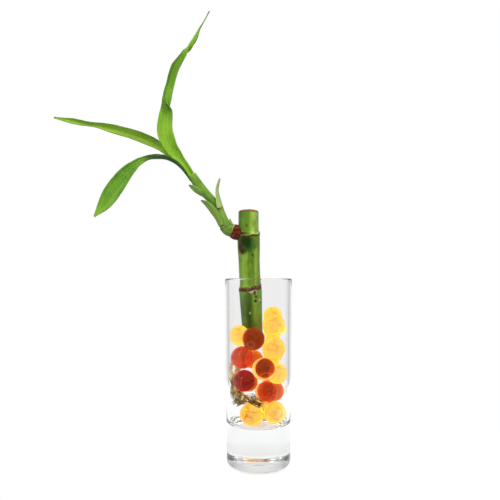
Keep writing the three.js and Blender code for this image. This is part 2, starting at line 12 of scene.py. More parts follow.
import bmesh
import bpy
import numpy as np
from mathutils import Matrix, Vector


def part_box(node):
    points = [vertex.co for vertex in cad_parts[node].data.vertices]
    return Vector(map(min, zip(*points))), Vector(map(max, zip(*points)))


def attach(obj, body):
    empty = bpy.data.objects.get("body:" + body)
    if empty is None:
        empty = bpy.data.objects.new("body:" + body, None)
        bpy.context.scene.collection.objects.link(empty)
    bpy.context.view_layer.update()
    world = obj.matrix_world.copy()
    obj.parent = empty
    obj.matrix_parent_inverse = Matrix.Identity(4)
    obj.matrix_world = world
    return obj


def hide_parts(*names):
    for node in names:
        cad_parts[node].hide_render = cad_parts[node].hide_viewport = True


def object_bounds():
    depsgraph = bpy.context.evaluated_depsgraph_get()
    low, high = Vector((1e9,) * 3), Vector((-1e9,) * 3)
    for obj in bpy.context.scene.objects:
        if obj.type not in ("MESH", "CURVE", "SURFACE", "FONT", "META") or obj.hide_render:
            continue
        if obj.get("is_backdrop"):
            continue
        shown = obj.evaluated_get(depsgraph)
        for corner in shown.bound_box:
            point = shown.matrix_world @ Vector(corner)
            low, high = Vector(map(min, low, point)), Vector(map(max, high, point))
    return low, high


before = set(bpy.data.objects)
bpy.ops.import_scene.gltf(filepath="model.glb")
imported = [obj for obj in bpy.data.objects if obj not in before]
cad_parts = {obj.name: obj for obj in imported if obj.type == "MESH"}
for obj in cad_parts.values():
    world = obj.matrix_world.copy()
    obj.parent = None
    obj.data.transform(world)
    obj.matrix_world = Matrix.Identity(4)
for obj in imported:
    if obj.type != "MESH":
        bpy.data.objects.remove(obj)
cad_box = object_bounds()
MM = 0.001
cad_height = (cad_box[1].z - cad_box[0].z) / MM
print("solid model:", len(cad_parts), "pieces, height", round(cad_height, 1), "mm")

# %% [markdown]
# ## Camera
#
# The viewer's eye is level with the rim of the glass, because the rim is seen edge-on, and its nearness
# shows in how strongly the far side of things shrinks. Tilting the camera up would also bring the whole
# plant into the frame, but uprights would then lean. A level camera with a small upward shift keeps them
# upright, as a view camera does. The focal length and the row of the eye are pixels of a picture 500
# pixels wide.

# %% Camera
PICTURE_SIDE = 500
FOCAL_PIXELS = 465
EYE_ROW = 278.5
EYE = np.array([-5.07, -278, 110]) * MM
SENSOR = 36

camera_data = bpy.data.cameras.new("studio_camera")
camera_data.sensor_width = SENSOR
camera_data.lens = SENSOR * FOCAL_PIXELS / PICTURE_SIDE
camera_data.shift_y = (EYE_ROW - PICTURE_SIDE / 2) / PICTURE_SIDE
camera_data.clip_start = 10 * MM
camera = bpy.data.objects.new("studio_camera", camera_data)
camera.location = EYE
camera.rotation_euler = (math.radians(90), 0, 0)
bpy.context.scene.collection.objects.link(camera)
bpy.context.scene.camera = camera
print("lens", round(camera_data.lens, 2), "mm, shift", round(camera_data.shift_y, 4))

# %% [markdown]
# ## Helpers
#
# Colours are picked as sRGB hex values, and shaders work with linear light, so one function turns the
# first into the second. `plug` fills the inputs of a node, each with a colour, a number, a socket or
# another node, of which it takes the first live output. `add` makes a node in any tree, with its settings,
# its inputs and, for a colour ramp, its stops. `new_material` starts each finish with its plain values.

# %% Colour and node helpers
COLOUR_STOPS = "ShaderNodeValToRGB"


def linear(code):
    channels = [int(code[i : i + 2], 16) / 255 for i in (1, 3, 5)]
    return tuple(c / 12.92 if c <= 0.04045 else ((c + 0.055) / 1.055) ** 2.4 for c in channels) + (1.0,)


def plug(tree, node, inputs):
    for socket, value in inputs.items():
        if isinstance(value, bpy.types.Node):
            value = next(output for output in value.outputs if output.enabled)
        if isinstance(value, bpy.types.NodeSocket):
            tree.links.new(value, node.inputs[socket])
        else:
            node.inputs[socket].default_value = linear(value) if isinstance(value, str) else value


def add(tree, kind, inputs=None, stops=None, **settings):
    made = tree.nodes.new(kind)
    for name, value in settings.items():
        setattr(made, name, value)
    plug(tree, made, inputs or {})
    if stops:
        elements = made.color_ramp.elements
        while len(elements) < len(stops):
            elements.new(1.0)
        for element, (at, code) in zip(elements, stops):
            element.position = at
            element.color = linear(code) if isinstance(code, str) else (code, code, code, 1.0)
    return made


def new_material(name, values):
    material = bpy.data.materials.new(name)
    material.use_nodes = True
    tree = material.node_tree
    shader = tree.nodes["Principled BSDF"]
    plug(tree, shader, values)
    return material, tree, shader


# %% [markdown]
# The plant's skins share three moves. `grain` is a noise whose flecks have a given size in millimetres,
# long and narrow for fibres and veins: `span` is the real size of what the coordinates run over. `paint`
# lays thin coats over a base, and each coat has a mask, the two mask values between which it comes in,
# how much it covers, and its colour. `spot_mark` measures the ragged distance from a point, for stains.
# An image would be quicker to paint, but noise keeps its real scale and has no seam.

# %% Pattern helpers
OBJECT_SPAN = (1 / MM, 1 / MM, 1 / MM)
STAIN_RAGGEDNESS = 0.9


def grain(tree, coordinates, span, sizes, detail=3.0):
    scale = tuple(length / size for length, size in zip(span, sizes))
    stretched = add(tree, "ShaderNodeMapping", {"Vector": coordinates, "Scale": scale})
    noise = {"Vector": stretched, "Scale": 1.0, "Detail": detail, "Roughness": 0.55}
    return add(tree, "ShaderNodeTexNoise", noise)


def paint(tree, base, coats):
    for mask, start, full, cover, colour in coats:
        fade = {0: mask, 1: start, 2: full, 4: cover}
        share = add(tree, "ShaderNodeMapRange", fade, interpolation_type="SMOOTHSTEP")
        base = add(tree, "ShaderNodeMix", {0: share, 6: base, 7: colour}, data_type="RGBA")
    return base


def spot_mark(tree, coordinates, ragged, middle, size):
    middle, size = (tuple(c * MM for c in values) for values in (middle, size))
    away = add(tree, "ShaderNodeVectorMath", {0: coordinates, 1: middle}, operation="SUBTRACT")
    scaled = add(tree, "ShaderNodeVectorMath", {0: away, 1: size}, operation="DIVIDE")
    distance = add(tree, "ShaderNodeVectorMath", {0: scaled}, operation="LENGTH")
    frayed = {0: ragged, 1: STAIN_RAGGEDNESS, 2: distance}
    return add(tree, "ShaderNodeMath", frayed, operation="MULTIPLY_ADD")


# %% [markdown]
# Most pieces are either a bar swept along a bent line or a thin sheet with a curled section. Blender's
# curve objects could sweep a bar, but not a section that changes its form on the way, so a few lines of
# numpy do it. `curve` passes smoothly through a short list of given stations, and takes its direction
# at each from the two neighbours. `frames` adds the direction along the line, a front that stays as close
# to the viewer's side as the line allows, and a side at right angles to both.

# %% Curves through stations
TOWARDS_VIEWER = np.array([0.0, -1.0, 0.0])


def curve(points, t):
    points = np.asarray(points, float)
    place = np.clip(np.atleast_1d(t), 0, 1) * (len(points) - 1)
    k = np.minimum(place.astype(int), len(points) - 2)
    w = (place - k)[:, None]
    padded = np.vstack([2 * points[0] - points[1], points, 2 * points[-1] - points[-2]])
    p0, p1, p2, p3 = (padded[k + i] for i in range(4))
    v1, v2 = (p2 - p0) / 2, (p3 - p1) / 2
    return p1 + v1 * w + (3 * (p2 - p1) - 2 * v1 - v2) * w**2 + (2 * (p1 - p2) + v1 + v2) * w**3


def unit(vectors):
    return vectors / np.linalg.norm(vectors, axis=-1, keepdims=True)


def frames(points, t):
    nudge = 1e-4
    tangent = unit(curve(points, t + nudge) - curve(points, t - nudge))
    front = unit(TOWARDS_VIEWER - tangent * (tangent @ TOWARDS_VIEWER)[:, None])
    return curve(points, t), tangent, front, np.cross(tangent, front)


# %% [markdown]
# A grid of points becomes a mesh with its own UV map: U runs across or around the piece and V along it,
# so veins and fibres can follow the surface. A ring grid closes on itself and may get caps. A finished
# piece takes its finish, hides the solids it stands for, and is fixed to the one body.

# %% Grids to meshes
def grid_object(name, grid, closed=False, caps=False):
    rows, columns = grid.shape[:2]
    mesh = bpy.data.meshes.new(name)
    build = bmesh.new()
    layer = build.loops.layers.uv.new("UVMap")
    verts = [[build.verts.new(grid[i, j] * MM) for j in range(columns)] for i in range(rows)]
    spans = columns if closed else columns - 1
    for i in range(rows - 1):
        for j in range(spans):
            k = (j + 1) % columns
            face = build.faces.new((verts[i][j], verts[i][k], verts[i + 1][k], verts[i + 1][j]))
            places = ((j, i), (j + 1, i), (j + 1, i + 1), (j, i + 1))
            for loop, (across, along) in zip(face.loops, places):
                loop[layer].uv = (across / spans, along / (rows - 1))
    if caps:
        for row, at in ((verts[0], 0.0), (verts[-1], 1.0)):
            middle = build.verts.new(sum((v.co for v in row), row[0].co * 0) / columns)
            for j in range(columns):
                face = build.faces.new((row[j], row[(j + 1) % columns], middle))
                for loop in face.loops:
                    loop[layer].uv = (j / columns, at)
        bmesh.ops.recalc_face_normals(build, faces=build.faces)
    for face in build.faces:
        face.smooth = True
    build.to_mesh(mesh)
    build.free()
    made = bpy.data.objects.new(name, mesh)
    bpy.context.scene.collection.objects.link(made)
    return made


def applied(piece):
    evaluated = piece.evaluated_get(bpy.context.evaluated_depsgraph_get())
    mesh = bpy.data.meshes.new_from_object(evaluated)
    piece.modifiers.clear()
    piece.data = mesh
    return piece


def place_piece(piece, slot, *nodes):
    if nodes:
        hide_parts(*nodes)
    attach(piece, "root")
    print(piece.name, len(piece.data.polygons), "faces")


def finish_piece(piece, material, slot, *nodes):
    piece.data.materials.clear()
    piece.data.materials.append(material)
    place_piece(piece, slot, *nodes)


# %% [markdown]
# ## Leaves
#
# A lucky bamboo leaf is a long, supple blade with fine parallel veins and a midrib that is no more than a
# crease. It could be drawn flat and bent with modifiers, but the turns of these leaves are their character
# and have to fall in the right places. So each leaf is a sheet swept along its own line. At every station
# its width, the turn of its face, the curl of its section and the fold at its midrib are set. Broad waves
# and fine ruffles run along its margins and die out where the blade is narrow.

# %% Leaf sheet
MIDRIB_SHARE = 0.22
SECTION_STEPS = 8
LEAST_WIDTH = 0.7
FULL_WAVE_WIDTH = 6
RUFFLES = 17


# The section walks outwards from the midrib in small steps: v is the place across it, from -1 to 1
def leaf_section(v, width, curl, fold):
    stride = v * width / 2 / SECTION_STEPS
    u = v[..., None] * (np.arange(SECTION_STEPS) + 0.5) / SECTION_STEPS
    heading = u * curl[..., None] / 2 + np.clip(u / MIDRIB_SHARE, -1, 1) * fold[..., None] / 2
    return np.cos(heading).sum(-1) * stride, np.sin(heading).sum(-1) * stride


def leaf_grid(stations, rows, columns, waves, wave_height, ruffle):
    stations = np.array(stations, float)
    t = np.linspace(0, 1, rows + 1)
    point, _, front, side = frames(stations[:, :3], t)
    width, roll, curl = curve(stations[:, 3:6], t).T
    fold = np.interp(t, np.linspace(0, 1, len(stations)), stations[:, 6])
    width, curl = np.maximum(width, LEAST_WIDTH), np.maximum(curl, 0)
    roll, curl, fold = (np.radians(angle)[:, None] for angle in (roll, curl, fold))
    upper = front * np.cos(roll) + side * np.sin(roll)
    right = side * np.cos(roll) - front * np.sin(roll)
    v = np.linspace(-1, 1, columns + 1)[None, :] * np.ones((rows + 1, 1))
    across, depth = leaf_section(v, width[:, None], curl, fold)
    middle = leaf_section(np.ones((rows + 1, 1)), width[:, None], curl, fold)[1] / 2
    fade = (np.minimum(1, width / FULL_WAVE_WIDTH) * np.sin(t * np.pi))[:, None]
    along = t[:, None]
    wave = wave_height * fade * v**2 * np.sin(waves * along * 2 * np.pi + v)
    fine = ruffle * fade * v**6 * np.sin(RUFFLES * along * 2 * np.pi + 2.3 * v + 3 * np.sin(5 * along))
    lift = (depth - middle + wave + fine)[..., None]
    return point[:, None] + right[:, None] * across[..., None] + upper[:, None] * lift


def leaf_object(name, stations, size, wave, ruffle, thickness):
    piece = grid_object(name, leaf_grid(stations, *size, *wave, ruffle))
    solid = piece.modifiers.new("blade_thickness", "SOLIDIFY")
    solid.thickness = thickness * MM
    solid.offset = 0
    solid.use_even_offset = False
    return applied(piece)


# %% [markdown]
# The stations are x, y, z, width, turn, curl and fold, in millimetres and degrees, from the foot of each
# leaf at the mouth of the shoot to its tip. A turn of 0 shows the face to the viewer and one of -90 its
# edge. The upper leaf twists twice on the way to its tip, first to about -85 and then on to -265.

# %% Leaf stations
LEAF_UPPER = [
    (-38.6, 0.9, 169.7, 3.6, 0, 150, 0), (-40.2, 1.0, 172.05, 4.1, 0, 150, 0),
    (-43.5, 1.4, 176.8, 4.8, 0, 130, 0), (-46.9, 1.8, 181.4, 6.2, 0, 110, 10),
    (-49.6, 2.0, 185.0, 7.8, 0, 90, 20), (-52.1, 1.8, 188.1, 9.0, 0, 70, 30),
    (-54.1, 1.5, 192.2, 9.9, 0, 50, 30), (-55.6, 1.5, 196.4, 10.3, 0, 45, 30),
    (-56.3, 2.0, 200.8, 10.3, 0, 50, 35), (-56.1, 3.0, 206.2, 10.0, -3, 50, 35),
    (-55.8, 3.8, 210.6, 10.0, -14, 40, 42), (-56.0, 4.6, 215.0, 11.2, -60, 35, 90),
    (-55.6, 5.6, 220.6, 12.0, -85, 25, 140), (-54.7, 7.0, 226.7, 11.6, -88, 25, 140),
    (-53.5, 7.5, 231.2, 10.6, -90, 25, 145), (-52.3, 8.0, 235.6, 9.9, -85, 25, 140),
    (-50.9, 8.5, 240.1, 9.9, -82, 25, 140), (-48.7, 9.0, 244.4, 9.2, -82, 25, 140),
    (-46.2, 9.5, 248.4, 7.4, -100, 20, 140), (-44.0, 10.0, 251.8, 6.0, -165, 20, 130),
    (-42.0, 10.2, 254.4, 6.0, -225, 20, 110), (-40.0, 10.5, 257.6, 5.8, -255, 20, 100),
    (-38.1, 11.0, 261.5, 4.7, -265, 20, 90), (-36.3, 11.5, 266.0, 2.4, -265, 20, 60),
    (-33.8, 12.2, 270.6, 1.1, -265, 10, 20), (-30.5, 13.0, 277.3, 0.8, -265, 5, 0),
]
LEAF_LEFT = [
    (-38.9, 1.6, 169.6, 3.8, 0, 100, 0), (-40.4, 2.1, 172.2, 4.4, 0, 100, 0),
    (-43.4, 2.7, 177.0, 4.6, 0, 85, 0), (-46.8, 3.5, 181.1, 5.4, 4, 70, 5),
    (-51.3, 5.0, 184.5, 6.0, 14, 50, 15), (-55.4, 6.2, 187.6, 6.6, 22, 35, 25),
    (-60.0, 7.2, 190.7, 7.2, 28, 25, 35), (-65.0, 8.2, 193.5, 7.9, 30, 20, 40),
    (-70.9, 9.2, 196.1, 8.4, 30, 15, 45), (-77.3, 10.0, 198.6, 8.9, 30, 15, 45),
    (-83.6, 10.5, 200.7, 8.7, 31, 15, 45), (-90.2, 10.5, 202.5, 7.6, 32, 20, 45),
    (-96.2, 10.0, 203.8, 6.2, 34, 25, 45), (-101.8, 9.5, 204.7, 5.6, 38, 30, 50),
    (-106.4, 9.0, 205.3, 5.2, 36, 30, 50), (-110.4, 8.5, 206.1, 4.2, 24, 25, 35),
    (-114.5, 7.8, 206.8, 3.8, 16, 20, 25), (-118.6, 7.2, 207.4, 2.5, 12, 15, 20),
    (-121.8, 6.6, 207.9, 1.6, 10, 10, 10), (-124.9, 6.0, 208.3, 0.8, 10, 5, 0),
]
LEAF_LOWER = [
    (-40.4, -0.6, 168.3, 3.0, 84, 90, 0), (-42.2, -0.9, 171.1, 3.4, 80, 90, 0),
    (-45.2, -1.6, 175.2, 4.2, 74, 100, 15), (-48.4, -2.1, 178.3, 5.0, 68, 90, 35),
    (-52.0, -2.6, 180.5, 5.9, 66, 80, 45), (-55.6, -3.2, 181.7, 7.2, 65, 70, 50),
    (-60.0, -4.0, 181.8, 7.8, 64, 60, 55), (-64.5, -5.0, 180.9, 6.8, 62, 45, 60),
    (-68.7, -6.5, 178.2, 8.9, 52, 30, 50), (-72.5, -8.0, 174.4, 11.4, 42, 25, 40),
    (-76.4, -9.0, 170.0, 13.3, 35, 20, 35), (-79.8, -10.0, 165.3, 14.2, 30, 20, 30),
    (-83.0, -11.0, 160.5, 13.9, 26, 18, 28), (-85.9, -12.0, 155.8, 12.2, 24, 15, 25),
    (-88.8, -12.5, 151.6, 8.6, 22, 15, 20), (-91.6, -12.9, 148.1, 4.2, 20, 10, 10),
    (-93.9, -13.0, 145.3, 0.8, 20, 5, 0),
]
print("leaf stations:", [len(stations) for stations in (LEAF_UPPER, LEAF_LEFT, LEAF_LOWER)])

# %% [markdown]
# A living leaf is a waxy cuticle over wet green tissue. The wax gives the eye a soft satin light, with a
# typical index of 1.4 to 1.5 and a roughness of 0.4 to 0.6, and the thin tissue lets some light through,
# so no fold turns black. Veins stand a little proud and look paler than the strips between them. Real
# veins lie about 0.4 mm apart and the fibres between them closer still, too fine for the picture, so both
# are drawn coarser. Pale flecks and darker clouds keep the blade from looking printed, the crease is
# darker, and the very tip has dried. A plain green would do from far away, but not at this distance.

# %% Living leaf blade material
LEAF_SPAN = (11, 125, 1)
VEIN_SPACING = 1.1
VEIN_HEIGHT = 0.03


# tip and twist are shares of the blade's length: where it has dried, and past where it has turned over
def leaf_material(name, pale, green, deep, tip, painted_shade_side=0.0, dark_foot=0.0, bright_foot=0.0, twist=2.0):
    material, tree, shader = new_material(name, {
        "Roughness": 0.5, "IOR": 1.45, "Specular IOR Level": 0.25,
        "Subsurface Weight": 0.4, "Subsurface Radius": (0.5, 1.0, 0.25), "Subsurface Scale": 0.8 * MM})
    place = add(tree, "ShaderNodeTexCoord")
    uv = place.outputs["UV"]
    split = add(tree, "ShaderNodeSeparateXYZ", {0: uv})
    across, along = split.outputs["X"], split.outputs["Y"]
    wander = grain(tree, uv, LEAF_SPAN, (3.7, 14, 1))
    fine = grain(tree, uv, LEAF_SPAN, (0.6, 40, 1), detail=1.0)
    lines = grain(tree, uv, LEAF_SPAN, (1.3, 78, 1), detail=1.5)
    clouds = grain(tree, place.outputs["Object"], OBJECT_SPAN, (13, 13, 13), detail=2.0)
    shifted = add(tree, "ShaderNodeMath", {0: wander, 1: 0.035, 2: across}, operation="MULTIPLY_ADD")
    turns = 2 * math.pi * LEAF_SPAN[0] / VEIN_SPACING
    phase = add(tree, "ShaderNodeMath", {0: shifted, 1: turns}, operation="MULTIPLY")
    vein = add(tree, "ShaderNodeMath", {0: phase}, operation="SINE")
    from_crease = add(tree, "ShaderNodeMath", {0: across, 1: 0.5}, operation="SUBTRACT")
    from_crease = add(tree, "ShaderNodeMath", {0: from_crease}, operation="ABSOLUTE")
    beyond = {0: along, 1: twist - 0.02, 2: twist + 0.03}
    beyond = add(tree, "ShaderNodeMapRange", beyond, interpolation_type="SMOOTHSTEP")
    edge = add(tree, "ShaderNodeMath", {0: beyond, 1: 0.16, 2: across}, operation="MULTIPLY_ADD")
    near_crease = add(tree, "ShaderNodeMath", {0: from_crease, 1: -1.0, 2: beyond}, operation="MULTIPLY_ADD")
    side = add(tree, "ShaderNodeMath", {0: wander, 1: 0.15, 2: across}, operation="MULTIPLY_ADD")
    neck = add(tree, "ShaderNodeMath", {0: along, 1: 0.24}, operation="SUBTRACT")
    neck = add(tree, "ShaderNodeMath", {0: neck}, operation="ABSOLUTE")
    worn = add(tree, "ShaderNodeMath", {0: fine, 1: 0.02, 2: along}, operation="MULTIPLY_ADD")
    base = paint(tree, deep, [
        (clouds, 0.38, 0.62, 1.0, green),
        (lines, 0.4, 0.68, 0.6, pale),
        (vein, 0.2, 1.0, 0.2, pale),
        (fine, 0.5, 0.8, 0.2, pale),
        (from_crease, 0.06, 0.0, 0.4, deep),
        # painted shade on one half of the blade, the half that its fold turns from the light
        (side, 0.5, 0.78, painted_shade_side, "#4c7019"),
        (along, 0.42, 0.3, bright_foot, "#a8d443"),
        (neck, 0.27, 0.18, dark_foot, "#2a501a"),
        (beyond, 0.0, 1.0, 0.3, "#4f7a1c"),
        (edge, 0.92, 1.1, 0.75, "#48751f"),
        (near_crease, 0.86, 1.0, 0.5, "#a9cf62"),
        (along, 0.72, 0.95, 0.4, "#96c440"),
        (worn, tip, tip + 0.025, 1.0, "#6b7048"),
    ])
    relief = add(tree, "ShaderNodeMath", {0: fine, 1: 0.8, 2: vein}, operation="MULTIPLY_ADD")
    bump = add(tree, "ShaderNodeBump", {"Height": relief, "Strength": 0.2, "Distance": VEIN_HEIGHT * MM})
    plug(tree, shader, {"Base Color": base, "Normal": bump})
    return material


# %% [markdown]
# The three blades have skins of their own: the upper one is the brightest, the left one has painted shade
# along one side, and the lower one is darkest near its foot. A real blade is about 0.3 mm thick. These get
# 0.5 mm by a Solidify modifier, which still reads as a thin sheet and closes the mesh.

# %% Make the leaves
LEAF_THICKNESS = 0.5
LEAF_RUFFLE = 0.05
leaf_upper_skin = leaf_material(
    "living_leaf_upper", "#86b434", "#70a02a", "#568420", 0.975, bright_foot=0.4, twist=0.42)
leaf_left_skin = leaf_material(
    "living_leaf_left", "#90ae38", "#80a22e", "#688a22", 0.985, painted_shade_side=0.6, bright_foot=0.2)
leaf_lower_skin = leaf_material("living_leaf_lower", "#72a030", "#5f8f24", "#47761a", 0.985, dark_foot=0.95)
for name, stations, size, wave, material, node in (
    ("upper_leaf", LEAF_UPPER, (300, 22), (5, 0.5), leaf_upper_skin, "leaf_upper"),
    ("left_leaf", LEAF_LEFT, (240, 20), (5, 0.3), leaf_left_skin, "leaf_left"),
    ("lower_leaf", LEAF_LOWER, (220, 24), (2, 0.5), leaf_lower_skin, "leaf_lower"),
):
    leaf = leaf_object(name, stations, size, wave, LEAF_RUFFLE, LEAF_THICKNESS)
    finish_piece(leaf, material, "leaf_blade", node)

# %% [markdown]
# ## Scale leaves
#
# Where the shoot branched, three short scale leaves stand off it. They are thin, stiff and dry at the tip.
# The leaf sheet makes them too, only narrower, strongly curled and without waves.

# %% Scale leaf stations
SCALE_RIGHT = [
    (-22.5, 0.2, 152.4, 6.6, -130, 110, 0), (-23.8, -0.6, 157.2, 4.6, -130, 80, 0),
    (-24.6, -1.5, 162.3, 2.6, -130, 60, 0), (-23.9, -2.0, 166.4, 1.8, -130, 40, 0),
    (-22.9, -2.2, 169.4, 0.7, -130, 10, 0),
]
SCALE_LEFT_LOW = [
    (-22.3, 0.2, 141.6, 5.4, 135, 85, 0), (-24.5, -0.3, 146.3, 6.0, 135, 95, 0),
    (-27.6, -0.9, 150.9, 5.8, 138, 80, 0), (-30.7, -1.4, 154.3, 4.2, 135, 60, 0),
    (-34.2, -1.8, 156.5, 0.7, 130, 10, 0),
]
SCALE_LEFT_HIGH = [
    (-32.1, -0.6, 159.2, 2.8, 130, 50, 0), (-34.4, -0.9, 160.8, 4.0, 135, 70, 0),
    (-36.8, -1.1, 162.6, 4.6, 140, 70, 0), (-39.4, -1.2, 164.4, 3.0, 140, 50, 0),
    (-41.4, -1.2, 165.7, 0.6, 140, 10, 0),
]

# %% [markdown]
# A scale leaf has the same wax as a blade but hardly any green under it, so it looks paler and drier, a
# little rougher, and its fibres show as straight pale lines. They are really a few tenths of a millimetre
# wide, and drawn at 0.9 mm. The tip has dried to straw and the foot is brownish.

# %% Scale leaf material
SCALE_SPAN = (5, 18, 1)
SCALE_THICKNESS = 0.45


def scale_material(name, base_code, pale, tip):
    material, tree, shader = new_material(name, {"Roughness": 0.55, "IOR": 1.45, "Specular IOR Level": 0.3})
    place = add(tree, "ShaderNodeTexCoord")
    along = add(tree, "ShaderNodeSeparateXYZ", {0: place.outputs["UV"]}).outputs["Y"]
    lines = grain(tree, place.outputs["UV"], SCALE_SPAN, (0.9, 16, 1), detail=1.5)
    clouds = grain(tree, place.outputs["Object"], OBJECT_SPAN, (5, 5, 6.7), detail=2.0)
    base = paint(tree, base_code, [
        (lines, 0.4, 0.65, 0.8, pale),
        (clouds, 0.5, 0.75, 0.4, "#6f9a3c"),
        (along, 0.88, 1.0, 0.8, tip),
        (along, 0.06, 0.0, 0.3, "#8a8a4c"),
    ])
    bump = add(tree, "ShaderNodeBump", {"Height": lines, "Strength": 0.3, "Distance": 0.1 * MM})
    plug(tree, shader, {"Base Color": base, "Normal": bump})
    return material


scale_pale = scale_material("pale_scale_leaf", "#a2bd68", "#c3d59a", "#8f9a66")
scale_green = scale_material("green_scale_leaf", "#7da544", "#9cbf5c", "#7f8f50")
for name, stations, size, material, node in (
    ("scale_leaf_right", SCALE_RIGHT, (60, 14), scale_pale, "bract_right"),
    ("scale_leaf_left_low", SCALE_LEFT_LOW, (60, 16), scale_green, "bract_left_low"),
    ("scale_leaf_left_high", SCALE_LEFT_HIGH, (50, 14), scale_green, "bract_left_high"),
):
    scale_leaf = leaf_object(name, stations, size, (0, 0), 0, SCALE_THICKNESS)
    finish_piece(scale_leaf, material, "scale_leaf", node)

# %% [markdown]
# ## Shoot
#
# The shoot is a soft green stem wrapped in leaf sheaths. It swells at its two nodes and ends in the mouth
# of the uppermost sheath, where the leaves come out. A small dry flap of an old sheath stands at its foot.
# A curve object with a bevel would give a plain rod. A bar swept along stations of x, y, z and radius can
# also carry the swellings, the lip of a sheath, fine ribs and the seam where its two edges meet.

# %% Bars and the shoot
SHOOT = [
    (-15.7, 2.9, 138.9, 4.05), (-18.5, 2.6, 140.1, 4.0), (-20.5, 2.4, 143.2, 3.4), (-22.0, 2.0, 147.6, 2.7),
    (-23.7, 1.5, 152.4, 2.1), (-28.0, 1.0, 157.2, 2.5), (-32.4, 0.5, 161.8, 2.75), (-36.6, 0.1, 167.1, 2.85),
    (-39.7, 0, 171.7, 2.6),
]
SHOOT_FLAP = [(-16.5, 1.8, 140.5, 1.1), (-16.4, 1.4, 143.0, 0.9), (-17.2, 1.1, 145.9, 0.35)]
SHOOT_NODES = ((0.19, 0.3), (0.47, 0.22))
NODE_WIDTH = 0.02
SHEATH_MOUTH = 0.475
LIP_HEIGHT = 0.14
RIB_COUNT, RIB_HEIGHT = 9, 0.05
SEAM_DEPTH = 0.12


def bar_grid(stations, rows, sides, swelling=None):
    stations = np.array(stations, float)
    t = np.linspace(0, 1, rows + 1)
    point, _, front, side = frames(stations[:, :3], t)
    radius = np.interp(t, np.linspace(0, 1, len(stations)), stations[:, 3])[:, None]
    turn = np.linspace(0, 2 * np.pi, sides, endpoint=False)[None, :]
    if swelling:
        radius = radius + swelling(t[:, None], turn)
    radius = np.broadcast_to(radius, (rows + 1, sides))
    outwards = side[:, None] * np.sin(turn)[..., None] + front[:, None] * np.cos(turn)[..., None]
    return point[:, None] + outwards * radius[..., None]


def shoot_swelling(t, turn):
    nodes = sum(proud * np.exp(-(((t - at) / NODE_WIDTH) ** 2)) for at, proud in SHOOT_NODES)
    lip = LIP_HEIGHT * np.exp(-(((t - SHEATH_MOUTH - 0.012 * np.sin(turn)) / 0.006) ** 2))
    ribs = RIB_HEIGHT * np.sin(RIB_COUNT * turn + 4 * t) * np.sin(t * np.pi)
    from_seam = np.angle(np.exp(1j * (turn - 0.7 - 2.2 * t)))
    seam = -SEAM_DEPTH * np.exp(-((from_seam / 0.1) ** 2)) * (t > SHEATH_MOUTH + 0.005)
    return nodes + lip + ribs + seam


shoot = grid_object("leafy_shoot", bar_grid(SHOOT, 260, 48, shoot_swelling), closed=True, caps=True)
flap = grid_object("dry_flap", bar_grid(SHOOT_FLAP, 24, 20), closed=True, caps=True)

# %% [markdown]
# Sheaths are leaf skin wrapped round a stem: the same satin wax, index 1.45 and roughness 0.5, with the
# light a little broken by fibres. The green changes from one sheath to the next, and every free edge has
# dried to a thin straw line. A ramp along the stem sets the greens, and coats around each edge draw the
# lines. Fibres are really about 0.1 mm wide, and drawn at 0.28 mm and, in streaks, at 0.85 mm.

# %% Sheathed shoot material
SHOOT_SPAN = (17, 50, 1)
SHEATH_EDGES = ((0.475, 0.012, "#9a8a55", 0.6), (0.2, 0.01, "#8f8a4c", 0.5), (0.01, 0.03, "#a8925a", 0.9))
SHEATH_GREENS = [
    (0.0, "#56772b"), (0.12, "#6c9434"), (0.2, "#648234"), (0.3, "#6f9834"), (0.45, "#86a84c"),
    (0.5, "#5c8a2c"), (0.7, "#6f9a34"), (0.93, "#6d9a30"), (1.0, "#8fb348")]
EDGE_RAGGEDNESS = 0.03


def shoot_material():
    material, tree, shader = new_material(
        "sheathed_green_shoot", {"Roughness": 0.5, "IOR": 1.45, "Specular IOR Level": 0.3})
    place = add(tree, "ShaderNodeTexCoord")
    uv = place.outputs["UV"]
    along = add(tree, "ShaderNodeSeparateXYZ", {0: uv}).outputs["Y"]
    lines = grain(tree, uv, SHOOT_SPAN, (0.85, 17, 1))
    fine = grain(tree, uv, SHOOT_SPAN, (0.28, 5.5, 1))
    clouds = grain(tree, place.outputs["Object"], OBJECT_SPAN, (3.8, 3.8, 5))
    height = add(tree, COLOUR_STOPS, {0: along}, stops=SHEATH_GREENS)
    ragged = add(tree, "ShaderNodeMath", {0: fine, 1: EDGE_RAGGEDNESS, 2: along}, operation="MULTIPLY_ADD")
    coats = [
        (lines, 0.42, 0.68, 0.45, "#94b850"),
        (clouds, 0.48, 0.72, 0.6, "#4d7224"),
        (fine, 0.6, 0.78, 0.25, "#b4cd74"),
    ]
    for middle, reach, code, most in SHEATH_EDGES:
        centre = middle + EDGE_RAGGEDNESS / 2
        gap = add(tree, "ShaderNodeMath", {0: ragged, 1: centre}, operation="SUBTRACT")
        gap = add(tree, "ShaderNodeMath", {0: gap}, operation="ABSOLUTE")
        coats.append((gap, reach, 0.0, most, code))
    base = paint(tree, height, coats)
    relief = add(tree, "ShaderNodeMath", {0: fine, 1: 0.6, 2: lines}, operation="MULTIPLY_ADD")
    bump = add(tree, "ShaderNodeBump", {"Height": relief, "Strength": 0.3, "Distance": 0.15 * MM})
    plug(tree, shader, {"Base Color": base, "Normal": bump})
    return material


finish_piece(shoot, shoot_material(), "shoot_skin", "shoot")
finish_piece(flap, scale_green, "shoot_skin")

# %% [markdown]
# ## Collar
#
# At the foot of the shoot a dry, red-brown collar of old scales joins it to the cane. It runs straight
# back from the shoot's first station into the cane, and is widest just outside the cane's skin. The scales
# could be single sheets, but at this size they read as one torn, wrinkled skin. So the collar is a bar
# whose radius wavers, with a frayed free edge.

# %% Collar
COLLAR_STEPS = ((7, 3.0), (5, 3.9), (2.8, 4.5), (1.2, 4.45), (0.15, 4.2))


